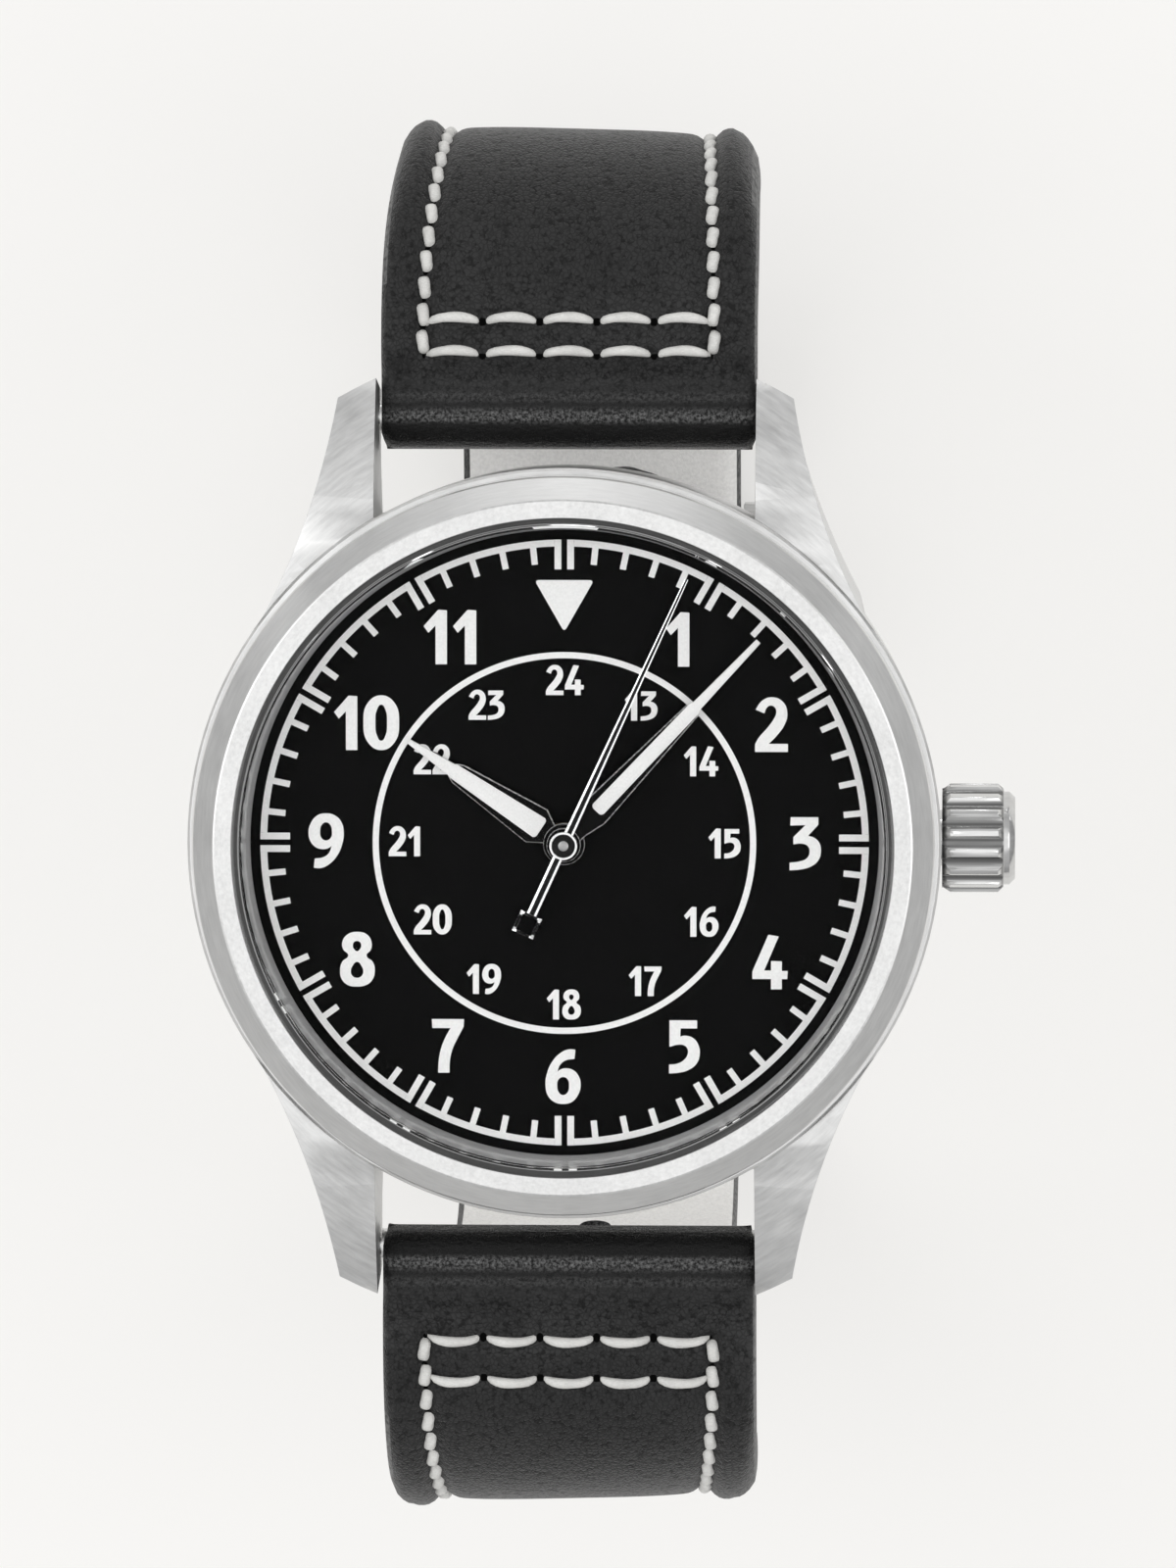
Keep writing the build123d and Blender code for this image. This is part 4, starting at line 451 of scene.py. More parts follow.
def mirrored(side):
    """A closed outline from its right side"""
    return side + [(-x, y) for x, y in reversed(side)]


def turned(shape, outline, steps=192, angle=2 * pi, start=0.0):
    """A ring or disc turned about the hands' axis from points of radius and height"""
    rim = [shape.verts.new((r * cos(start), r * sin(start), z)) for r, z in outline]
    edges = [shape.edges.new((rim[i], rim[(i + 1) % len(rim)])) for i in range(len(rim))]
    whole = angle > 2 * pi - 0.001
    bmesh.ops.spin(shape, geom=rim + edges, cent=(0, 0, 0), axis=(0, 0, 1), dvec=(0, 0, 0), angle=angle,
                   steps=steps, use_merge=whole, use_duplicate=False)
    bmesh.ops.remove_doubles(shape, verts=shape.verts, dist=0.0005)
    if not whole:
        bmesh.ops.holes_fill(shape, edges=shape.edges, sides=len(rim))


def bevel(shape, edges, offset, segments):
    bmesh.ops.bevel(shape, geom=edges, offset=offset, offset_type="OFFSET", segments=segments, profile=0.5,
                    affect="EDGES", clamp_overlap=True, material=-1)


def turn_flat(shape, verts, degrees_left):
    """Turns vertices about the hands' axis"""
    bmesh.ops.rotate(shape, verts=verts, cent=(0, 0, 0),
                     matrix=Matrix.Rotation(radians(degrees_left), 3, "Z"))


def soften(shape, offset, segments, keep):
    """Bevels those sharp edges of a closed shape that are to be kept"""
    shape.normal_update()
    bevel(shape, [e for e in shape.edges if e.is_manifold and degrees(e.calc_face_angle(0.0)) > 40.0
                  and keep(e)], offset, segments)


def dressed_copy(node, name, body, material, width, segments=2, adjust=None):
    """A merged copy of a solid with its edges broken, in place of the node"""
    shape = bmesh.new()
    shape.from_mesh(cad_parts[node].data)
    bmesh.ops.remove_doubles(shape, verts=shape.verts, dist=0.000002)
    bmesh.ops.scale(shape, vec=(1 / MM,) * 3, verts=shape.verts)
    if adjust:
        for vert in shape.verts:
            vert.co = adjust(vert.co)
        bmesh.ops.remove_doubles(shape, verts=shape.verts, dist=0.002)
    bmesh.ops.dissolve_limit(shape, angle_limit=radians(0.4), verts=shape.verts, edges=shape.edges)
    piece = finish_piece(name, shape, body, [material], node=node)
    broken = piece.modifiers.new("Edge break", "BEVEL")
    broken.width = width
    broken.segments = segments
    broken.limit_method = "ANGLE"
    broken.angle_limit = radians(32.0)
    broken.use_clamp_overlap = True
    broken.harden_normals = False


def paint_node(material, *names):
    """Gives carried-over solids a material"""
    for name in names:
        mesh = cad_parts[name].data
        mesh.materials.clear()
        mesh.materials.append(material)


# Numerals: outlines on a grid with 255 units to the numeral's height; a third value marks a corner

DIGIT_HEIGHT = 255.0
SIX = [[(145, 255, 1), (112, 257), (70, 238), (30, 195), (8, 145), (0, 92), (14, 36), (46, 8), (85, 0),
        (126, 9), (160, 48), (170, 90), (160, 132), (133, 160), (98, 168), (72, 162), (58, 152, 1),
        (72, 186), (100, 206), (140, 212, 1)],
       [(85, 127), (107, 116), (114, 85), (106, 54), (85, 42), (65, 54), (57, 85), (62, 113)]]
DIGITS = {
    "0": [[(86, 257), (150, 222), (172, 129), (150, 36), (86, 0), (22, 36), (0, 129), (22, 222)],
          [(86, 213), (106, 190), (114, 129), (106, 68), (86, 44), (66, 68), (58, 129), (66, 190)]],
    "1": [[(0, 178, 1), (23, 147, 1), (57, 181, 1), (57, 0, 1), (112, 0, 1), (112, 252, 1), (70, 255, 1)]],
    "2": [[(3, 198, 1), (32, 238), (80, 256), (134, 234), (155, 180), (144, 132), (108, 80), (66, 38, 1),
           (158, 38, 1), (158, 0, 1), (0, 0, 1), (0, 35, 1), (16, 64), (62, 116), (92, 158), (102, 184),
           (95, 208), (74, 217), (56, 206), (45, 180, 1)]],
    "3": [[(7, 249, 1), (140, 249, 1), (140, 214, 1), (91, 162, 1), (122, 152), (146, 127), (153, 92),
           (142, 50), (110, 21), (60, 5), (2, 0, 1), (2, 36, 1), (50, 42), (86, 58), (98, 88), (90, 113),
           (64, 125), (20, 122, 1), (20, 156, 1), (78, 212, 1), (5, 210, 1)]],
    "4": [[(0, 83, 1), (0, 48, 1), (90, 48, 1), (90, 0, 1), (142, 0, 1), (142, 48, 1), (168, 48, 1),
           (170, 86, 1), (142, 86, 1), (142, 131, 1), (90, 133, 1), (90, 88, 1), (57, 88, 1), (127, 248, 1),
           (77, 256, 1)]],
    "5": [[(4, 250, 1), (137, 250, 1), (137, 212, 1), (58, 212, 1), (56, 174, 1), (80, 178), (120, 165),
           (144, 132), (150, 95), (137, 50), (97, 17), (45, 3), (2, 0, 1), (2, 42, 1), (37, 45), (72, 62),
           (92, 92), (90, 118), (72, 133), (44, 135), (4, 125, 1)]],
    "6": SIX,
    "7": [[(0, 252, 1), (155, 252, 1), (153, 216, 1), (128, 170), (100, 112), (87, 58), (85, 0, 1),
           (30, 0, 1), (33, 60), (46, 120), (68, 172), (90, 210, 1), (2, 210, 1)]],
    "8": [[(82, 257), (132, 243), (153, 204), (148, 172), (128, 146), (158, 116), (168, 75), (154, 29),
           (120, 5), (82, 0), (42, 5), (9, 33), (0, 75), (11, 117), (40, 146), (16, 174), (11, 208),
           (34, 243)],
          [(82, 214), (97, 208), (102, 190), (96, 176), (82, 166), (68, 176), (62, 190), (67, 208)],
          [(82, 116), (104, 96), (112, 72), (103, 49), (82, 41), (61, 49), (52, 72), (60, 96)]],
    "9": [[(170 - x, 256 - y, *corner) for x, y, *corner in contour] for contour in SIX],
}
DIGIT_GAP, AFTER_ONE = 13.0, 16.0


def advance(digit):
    """How far the next digit starts; a one stands farther off"""
    return max(point[0] for point in DIGITS[digit][0]) + DIGIT_GAP + (AFTER_ONE if digit == "1" else 0.0)


def lay_number(curve, text, centre, height, narrow):
    """Adds the outlines of an upright number to a flat curve, centred on a point in millimetres"""
    unit = height / DIGIT_HEIGHT
    start = (DIGIT_GAP + (AFTER_ONE if text[-1] == "1" else 0.0) - sum(advance(digit) for digit in text)) / 2
    for digit in text:
        for contour in DIGITS[digit]:
            line = curve.splines.new("BEZIER")
            line.bezier_points.add(len(contour) - 1)
            line.use_cyclic_u = True
            line.resolution_u = 6
            for point, (x, y, *corner) in zip(line.bezier_points, contour):
                point.co = (centre[0] + (start + x) * unit * narrow,
                            centre[1] + (y - DIGIT_HEIGHT / 2) * unit, 0)
                point.handle_left_type = point.handle_right_type = "VECTOR" if corner else "AUTO"
        start += advance(digit)


def curve_piece(curve, name, low, high, material):
    """A flat filled curve in millimetres as a thin print on the dial"""
    curve.dimensions = "2D"
    curve.fill_mode = "BOTH"
    curve.extrude = (high - low) / 2
    holder = add_object(name + "_outline", curve)
    ready = evaluated_mesh(holder)
    shape = bmesh.new()
    shape.from_mesh(ready)
    bpy.data.objects.remove(holder)
    bpy.data.meshes.remove(ready)
    bmesh.ops.remove_doubles(shape, verts=shape.verts, dist=0.0004)
    bmesh.ops.translate(shape, verts=shape.verts, vec=(0, 0, (low + high) / 2))
    finish_piece(name, shape, "case", [material])


# Strap: places are a way along from the bar, across from the middle and out of the face, in millimetres.
# Each half is a chain of runs: a length, and the radius it is bent to or none.

BAR_Y, BAR_Z = 22.3, 3.0
BEND_RADIUS, LEAD, LEAN, TURN_RADIUS = 9.0, 4.0, 12.0, 16.0
FALL_START = LEAD + radians(90 + LEAN) * BEND_RADIUS
THICK_HALF, THIN_HALF, THIN_START, THIN_END = 2.15, 1.6, 20.0, 27.0
FOLD_HALF = 1.62
NOSES = {"buckle": 1.74, "tail": 1.12}
STRAP_HALF_WIDTH, STRAP_END_HALF_WIDTH = 9.97, 8.0
TAIL_SWING_RADIUS, TIP_LENGTH, TIP_TRIM = 56.996, 8.5, 3.2
ROWS = {"buckle": (3.42, 4.95), "tail": (4.54, 6.38)}
SEAM_START, SEAM_END, SEAM_MARGIN = 7.75, 7.0, 2.0
# Where a form of the bend rises and fades: start, full, fading, gone
WAIST, LEANING, ROUNDING = (7.0, 18.0, 25.0, 32.0), (4.0, 18.0, 24.0, 34.0), (5.0, 15.0, 26.0, 42.0)
DROP, FLARE, PRESS = (6.0, 16.0, 26.0, 34.0), (8.0, 19.0, 24.0, 40.0), (1.5, 2.3, 2.4, 3.4)
# Where the skew and the padding fade: from, to
SKEW_FADE, PADDING_FADE = (20.0, 34.0), (28.0, 55.0)
# Bands of painted highlight flecks at the fold: start, full, fading, gone, brightness
PAINTED_GLINT_BANDS = ((-0.4, 0.02, 0.2, 0.75, 1.0), (0.75, 1.05, 1.2, 1.6, 0.3))
# Shares of the way round the strap's section: face, edge, lining, edge
FACE_END, EDGE_END, LINING_END = 0.66, 0.72, 0.94
HOLES, HOLE_PITCH, FIRST_HOLE, HOLE_RADIUS = 7, 6.0, 22.0, 0.9
HALVES = {
    "buckle": {"side": 1, "body": "strap_12", "node": "strap_buckle_half", "waist": 0.26, "lean": 0.24,
               "rounding": 1.0, "stitch_end": 6.0,
               "runs": [(LEAD, None), (radians(90 + LEAN) * BEND_RADIUS, BEND_RADIUS), (32.0, None),
                        (radians(90 - LEAN) * TURN_RADIUS, TURN_RADIUS), (0.6, None)]},
    "tail": {"side": -1, "body": "strap_6", "node": "strap_tail_half", "waist": 0.08, "lean": 0.0,
             "rounding": 0.35, "stitch_end": 7.0,
             "runs": [(LEAD, None), (radians(90 + LEAN) * BEND_RADIUS, BEND_RADIUS), (33.006, None),
                      (radians(91.7) * TURN_RADIUS, TURN_RADIUS), (31.365 - TIP_TRIM, TAIL_SWING_RADIUS)]},
}


def strap_place(half, along):
    """Middle line's point in the plane of the side view, away from the case and up, and its heading"""
    y, z, heading = BAR_Y, BAR_Z, 0.0
    left = along
    for index, (length, radius) in enumerate(HALVES[half]["runs"]):
        step = min(left, length) if left > 0 or index == 0 else 0
        if radius is None:
            y, z = y + step * cos(heading), z + step * sin(heading)
        else:
            cy, cz = y + radius * sin(heading), z - radius * cos(heading)
            heading -= step / radius
            y, z = cy - radius * sin(heading), cz + radius * cos(heading)
        left -= step
        if left <= 0:
            break
    return y, z, heading


def strap_length(half):
    return sum(run[0] for run in HALVES[half]["runs"])


def ease(value, low, high):
    """Smooth step from 0 to 1"""
    t = min(max((value - low) / (high - low), 0.0), 1.0)
    return t * t * (3 - 2 * t)


def hill(value, start, full, fading, gone, fade=1.0):
    """Rises from 0 to 1, then falls by a share"""
    return ease(value, start, full) * (1 - fade * ease(value, fading, gone))


def bell(value, middle, width):
    """A soft bump of height 1"""
    return exp(-((value - middle) / width) ** 2)


def half_width(half, along):
    """Half the strap's width at a way along"""
    narrowing = min(max((along - FALL_START + 2.0) / 34.0, 0.0), 1.0)
    taper = STRAP_HALF_WIDTH + (STRAP_END_HALF_WIDTH - STRAP_HALF_WIDTH) * narrowing
    nose = 0.28 * (1 - ease(along, -NOSES[half], -NOSES[half] + 0.9))
    width = taper - nose - HALVES[half]["waist"] * hill(along, *WAIST)
    from_tip = strap_length("tail") - along
    if half == "tail" and from_tip < TIP_LENGTH:
        width = max(0.02, width * sqrt(max(0.0, 1 - ((TIP_LENGTH - from_tip) / TIP_LENGTH) ** 2.2)))
    return width


def half_thickness(half, along):
    """Half the strap's thickness at a way along, rounded at the fold"""
    if along < 0:
        return FOLD_HALF * sqrt(max(0.0, 1 - (along / NOSES[half]) ** 2))
    rise = FOLD_HALF + (THICK_HALF - FOLD_HALF) * ease(along, 1.6, LEAD)
    return rise + (THIN_HALF - THICK_HALF) * ease(along, THIN_START, THIN_END)


def seam_across(half, along):
    """How far from the middle the edge stitching runs"""
    inset = SEAM_START + (SEAM_END - SEAM_START) * ease(along, ROWS[half][0], 20.0)
    return min(inset, half_width(half, along) - SEAM_MARGIN)


def face_height(half, along, across):
    """Height of the outer face above the middle line"""
    strap = bpy.context.scene.watch_strap
    wide, seam, off = half_width(half, along), seam_across(half, along), abs(across)
    padded = hill(along, ROWS[half][0] - 1.2, ROWS[half][0] + 0.4, *PADDING_FADE, fade=0.55)
    height = half_thickness(half, along)
    rounded = hill(along, *ROUNDING, fade=0.6) * HALVES[half]["rounding"]
    rim = 0.55 + 1.05 * rounded
    if off > wide - rim:
        height -= (0.42 + 1.1 * rounded) * (1 - sqrt(max(0.0, 1 - ((off - wide + rim) / rim) ** 2)))
    groove = strap.groove_depth / MM
    if off < seam:
        height += padded * strap.crown_height / MM * (1 - (off / seam) ** 4)
        height -= sum(padded * 0.55 * groove * bell(along, row, 0.42) for row in ROWS[half])
    else:
        flare = strap.flare / MM * hill(along, *FLARE, fade=0.75)
        share = (off - seam) / max(0.1, wide - seam)
        height += padded * (0.12 + flare) * sin(pi * min(1.0, share * 1.05) ** 0.9)
        height -= 0.05 * padded * bell(wide - off, 1.15, 0.09)
    height -= padded * groove * bell(off, seam, 0.5)
    return height - 0.1 * hill(along, *PRESS) - (0.36 + 0.026 * across) * hill(along, *DROP)


def strap_point(half, along, across, out):
    """Point at a way along, across and out from the middle line"""
    y, z, heading = strap_place(half, along)
    side, lean = HALVES[half]["side"], HALVES[half]["lean"]
    skew = 0.08 * (1 - ease(along, *SKEW_FADE)) + lean * hill(along, *LEANING)
    return Vector((across + skew, side * (y - sin(heading) * out), z + cos(heading) * out))


def strap_axes(half, along):
    """Unit vectors along the strap and out of its face"""
    heading = strap_place(half, along)[2]
    side = HALVES[half]["side"]
    return (Vector((0, side * cos(heading), sin(heading))),
            Vector((0, -side * sin(heading), cos(heading))))


def on_face(half, along, across, lift):
    """Point at a height over the outer face"""
    return strap_point(half, along, across, face_height(half, along, across) + lift)


def loop_point(half, along, turn):
    """Point of the strap's skin at a turn from 0 to 1 round its section"""
    wide = half_width(half, along)
    thick = half_thickness(half, along)
    rim = min(0.35, thick * 0.6)
    if turn < FACE_END:
        return on_face(half, along, (turn / FACE_END * 2 - 1) * wide, 0.0)
    if EDGE_END <= turn < LINING_END:
        across = (1 - (turn - EDGE_END) / (LINING_END - EDGE_END) * 2) * wide
        return strap_point(half, along, across, max(0.0, abs(across) - wide + rim) - thick)
    if turn < EDGE_END:
        side, share = 1, (turn - FACE_END) / (EDGE_END - FACE_END)
    else:
        side, share = -1, 1 - (turn - LINING_END) / (1 - LINING_END)
    top = face_height(half, along, side * wide)
    across = side * (wide + 0.06 * sin(pi * share))
    return strap_point(half, along, across, top + (rim - thick - top) * share)


def leather_material(name, colour):
    """Black leather: fine grain, creased at the fold, with painted shade and painted highlight flecks there,
    worn at its edges
    """
    material = grain_material(name, colour, leather_grain(), 0.00004, specular_ior_level=0.19,
                              sheen_weight=0.2, sheen_roughness=0.4)
    tree = material.node_tree
    along = put(tree, "ShaderNodeAttribute", attribute_name="along").outputs["Fac"]
    edge = put(tree, "ShaderNodeAttribute", attribute_name="edge").outputs["Fac"]
    tree.links.new(ramp(tree, along, 1.6, 2.3, 1.0, 0.0, smooth=True),
                   tree.nodes["Group"].inputs["Creasing"])
    rubbed = ramp(tree, noise(tree, place_vector(tree), 1400.0, 3.0), 0.45, 0.75, 0.0, 0.5)
    worn = blend_colours(tree, product(tree, edge, rubbed), fed(tree, "Base Color"), (0.06, 0.06, 0.06))
    # Painted shade: the face turns near black round the fold towards the bar
    shadow = ramp(tree, along, -0.4, 2.2, 0.0, 1.0, smooth=True)
    fold_shaded = blend_colours(tree, shadow, (0.0012, 0.0012, 0.0012), worn)
    # Painted highlight: light flecks in bands at the fold stand in for the leather's sheen catching the
    # lamps
    bands = [product(tree, ramp(tree, along, start, full, 0.0, level, smooth=True),
                     ramp(tree, along, fading, gone, 1.0, 0.0, smooth=True))
             for start, full, fading, gone, level in PAINTED_GLINT_BANDS]
    glint_speckle = ramp(tree, noise(tree, place_vector(tree), 5200.0, 3.0, 0.75), 0.42, 0.7, 0.0, 1.0)
    painted_glints = product(tree, calc(tree, "ADD", *bands), glint_speckle)
    feed(tree, "Base Color", blend_colours(tree, painted_glints, fold_shaded, (0.18, 0.18, 0.18)))
    return material


def ply_template(length, width, bow, turns):
    """One stitch along X in millimetres: two plies twisted into one strand, its ends tucked down"""
    shape = bmesh.new()
    steps, sides = 10, 12
    bmesh.ops.create_grid(shape, x_segments=steps, y_segments=sides, size=1.0)
    for vert in shape.verts:
        t = (vert.co.x + 1) / 2
        ring = vert.co.y * pi
        from_middle = abs(2 * t - 1)
        radius = width / 2 * (0.3 + 0.7 * sqrt(max(0.0, 1 - from_middle ** 2.5)))
        radius *= 0.9 + 0.14 * abs(cos(ring - pi * turns * t))
        vert.co = ((t - 0.5) * length, radius * cos(ring) + bow * (1 - from_middle ** 2),
                   radius * sin(ring) - width * 0.75 * from_middle ** 5)
    bmesh.ops.remove_doubles(shape, verts=shape.verts, dist=0.003)
    bmesh.ops.holes_fill(shape, edges=shape.edges, sides=sides)
    return to_mesh(shape, "stitch_template")


def framed(place, *axes):
    """Matrix that puts the axes X, Y and Z along three vectors and the origin at a place"""
    return Matrix.Translation(place) @ Matrix(axes).transposed().to_4x4()


def lay_stitch(shape, template, place, forward, out):
    """Copies a stitch to a place, along one direction and out along another"""
    before = len(shape.verts)
    shape.from_mesh(template)
    shape.verts.ensure_lookup_table()
    bmesh.ops.transform(shape, matrix=framed(place, forward, out.cross(forward).normalized(), out),
                        verts=shape.verts[before:])


# Operators

class WATCH_OT_stage(bpy.types.Operator):
    """Makes the floor, the world, the lamps and the camera"""
    bl_idname = "watch.make_stage"
    bl_label = "Stage"

    def execute(self, context):
        stage = context.scene.watch_stage
        shape = bmesh.new()
        bmesh.ops.create_grid(shape, x_segments=1, y_segments=1, size=3.0)
        bmesh.ops.translate(shape, verts=shape.verts, vec=(0, 0, cad_box[0].z))
        floor = add_object("floor", to_mesh(shape, "floor"))
        pale = plain_material("Pale floor", [0.92 * part for part in stage.floor_colour], 0.9,
                              specular_ior_level=0.1)
        tree = pale.node_tree
        path = put(tree, "ShaderNodeLightPath").outputs
        seen = calc(tree, "MAXIMUM", path["Is Camera Ray"],
                    calc(tree, "MAXIMUM", path["Is Glossy Ray"], path["Is Transmission Ray"]))
        glow = put(tree, "ShaderNodeEmission", {"Color": (*stage.floor_colour, 1), "Strength": 1.0})
        mixed = put(tree, "ShaderNodeMixShader", {"Fac": product(tree, seen, stage.floor_glow)})
        tree.links.new(tree.nodes["Principled BSDF"].outputs[0], mixed.inputs[1])
        tree.links.new(glow.outputs[0], mixed.inputs[2])
        tree.links.new(mixed.outputs[0], tree.nodes["Material Output"].inputs["Surface"])
        floor.data.materials.append(pale)

        world = bpy.data.worlds.new("Studio")
        context.scene.world = world
        world.use_nodes = True
        tree = world.node_tree
        up = put(tree, "ShaderNodeSeparateXYZ",
                 {"Vector": put(tree, "ShaderNodeTexCoord").outputs["Generated"]}).outputs["Z"]
        low = ramp(tree, up, 0.1, 0.6, stage.horizon, stage.middle)
        high = ramp(tree, up, 0.78, 0.97, 0.0, stage.zenith - stage.middle, smooth=True)
        tree.nodes["Background"].inputs["Color"].default_value = (1, 1, 1, 1)
        tree.links.new(calc(tree, "ADD", low, high), tree.nodes["Background"].inputs["Strength"])

        lamps = (("softbox_left", (-0.6, 0.12, 0.8), (0.62, 0.62), 2.2),
                 ("softbox_right", (0.62, 0.0, 0.8), (0.62, 0.62), 1.8),
                 ("strip_12", (0.0, 1.0, 0.1), (0.15, 0.04), 0.14),
                 ("strip_1", (0.48, 0.87, 0.09), (0.05, 0.04), 0.05),
                 ("strip_2", (0.85, 0.53, 0.08), (0.06, 0.04), 0.06),
                 ("strip_11", (-0.5, 0.87, 0.09), (0.07, 0.04), 0.07),
                 ("strip_10", (-0.83, 0.55, 0.08), (0.07, 0.04), 0.07),
                 ("card_12", (0.0, 0.95, 0.24), (0.8, 0.2), 0.42))
        for name, place, size, power in lamps:
            light = bpy.data.lights.new(name, "AREA")
            light.shape = "RECTANGLE"
            light.size, light.size_y = size
            light.energy = power
            lamp = add_object(name, light)
            lamp.location = place
            lamp.rotation_mode = "QUATERNION"
            lamp.rotation_quaternion = (Vector((0, 0, 0.01)) - Vector(place)).to_track_quat("-Z", "Y")

        dial_level = 0.009
        back = Vector((sin(stage.tilt_right), sin(stage.tilt_up), 0))
        back.z = sqrt(1 - back.length_squared)
        right = Vector((0, 1, 0)).cross(back).normalized()
        up = back.cross(right)
        target = Vector((0, 0, dial_level)) + right * stage.aim_right + up * stage.aim_up
        data = bpy.data.cameras.new("camera")
        data.sensor_width = 36.0
        data.lens = data.sensor_width * stage.camera_distance / stage.frame_height
        data.clip_start, data.clip_end = 0.01, 20.0
        camera = add_object("camera", data)
        camera.location = target + back * stage.camera_distance
        camera.rotation_mode = "QUATERNION"
        camera.rotation_quaternion = Matrix((right, up, back)).transposed().to_quaternion()
        context.scene.camera = camera
        context.scene.view_settings.view_transform = "Standard"
        return {"FINISHED"}


class WATCH_OT_case(bpy.types.Operator):
    """Dresses the mid case, crown and case back in steel"""
    bl_idname = "watch.make_case"
    bl_label = "Case"

    wall_near, top_radius, wall_far, wall_top, wall_height = 19.8, 19.95, 20.02, 9.3, 8.3
    raised, drawn_out, leaning = 0.3, 0.42, 0.35
    crown_root, crown_end = 20.02, 20.2

    def fair_lug(self, point):
        """Runs the lugs into the case's top, draws their tips out and leans their walls under"""
        x, y, z = point
        away = sqrt(x * x + y * y)
        if abs(y) > 10.4 and 4.3 < z < 9.1 and away > self.top_radius:
            z += self.raised * (z - 4.3) / 4.7
        if self.wall_near < away < self.wall_far:
            under = 1 - self.leaning / away * (self.wall_top - z) / self.wall_height
            x, y = x * under, y * under
        reach = max(0.0, (abs(y) - 13.0) / 10.5)
        if abs(x) > 10.0 and reach > 0:
            lean = 1.0 if z > 4.2 else -1.0 if z < 2.0 else 0.0
            y += copysign(self.drawn_out * lean * reach ** 2, y * lean)
            if abs(x) > 11.0 and lean < 0:
                x -= copysign(0.2 * reach, x)
        return Vector((x, y, z))

    def close_crown(self, point):
        """Brings the crown's inner face nearer to the case"""
        return Vector((self.crown_root, point.y, point.z)) if point.x < self.crown_end else point

    def grooved_steel(self):
        """Crown steel with painted shade: darker at the bottom of its grooves and next to the case"""
        material = steel("Crown steel")
        tree = material.node_tree
        parts = put(tree, "ShaderNodeSeparateXYZ", {"Vector": put(tree, "ShaderNodeMapping", {
            "Vector": place_vector(tree), "Location": (0, 0, -0.005)}).outputs[0]}).outputs
        radius = calc(tree, "SQRT", calc(tree, "ADD", product(tree, parts["Y"], parts["Y"]),
                                         product(tree, parts["Z"], parts["Z"])))
        # Painted shade: near black down in the flutes, only a little darker on the end, and darker next to
        # the case
        groove = ramp(tree, radius, 0.00264, 0.00284, 0.28, 1.0, smooth=True)
        grip = ramp(tree, parts["X"], 0.02322, 0.0233, 0.0, 0.86)
        inner = ramp(tree, parts["X"], 0.02012, 0.0203, 0.3, 1.0)
        bright = product(tree, calc(tree, "MAXIMUM", groove, grip), inner)
        feed(tree, "Base Color", blend_colours(tree, bright, (0, 0, 0), fed(tree, "Base Color")))
        return material

    def execute(self, context):
        settings = context.scene.watch_steel
        brushed = steel("Ring brushed steel")
        dressed_copy("mid_case", "case_body", "case", brushed, settings.edge_break,
                     adjust=self.fair_lug)
        dressed_copy("crown", "crown_head", "crown", self.grooved_steel(),
                     settings.crown_break, segments=1, adjust=self.close_crown)
        dressed_copy("case_back", "back_cover", "case", brushed, settings.edge_break)
        paint_node(steel("Polished steel"), "crown_tube", "spring_bar_12", "spring_bar_6", "bridge_screws")
        return {"FINISHED"}


class WATCH_OT_bezel(bpy.types.Operator):
    """Turns the bezel: a brushed flat band, a satin slope and a polished lip"""
    bl_idname = "watch.make_bezel"
    bl_label = "Bezel"

    def execute(self, context):
        shape = bmesh.new()
        turned(shape, [(17.5, 9.3), (19.65, 9.3), (19.65, 10.62), (19.58, 10.76), (18.5, 11.66),
                       (18.4, 11.7), (17.53, 11.7), (17.5, 11.67)], steps=256)
        steels = [steel("Short brushed steel"), steel("Satin steel"), steel("Polished steel")]
        piece = finish_piece("bezel_ring", shape, "case", steels, 12.0, "bezel")
        for face in piece.data.polygons:
            if 0.3 < face.normal.z < 0.9:
                face.material_index = 1
            elif face.normal.z < 0.3:
                face.material_index = 2
        return {"FINISHED"}


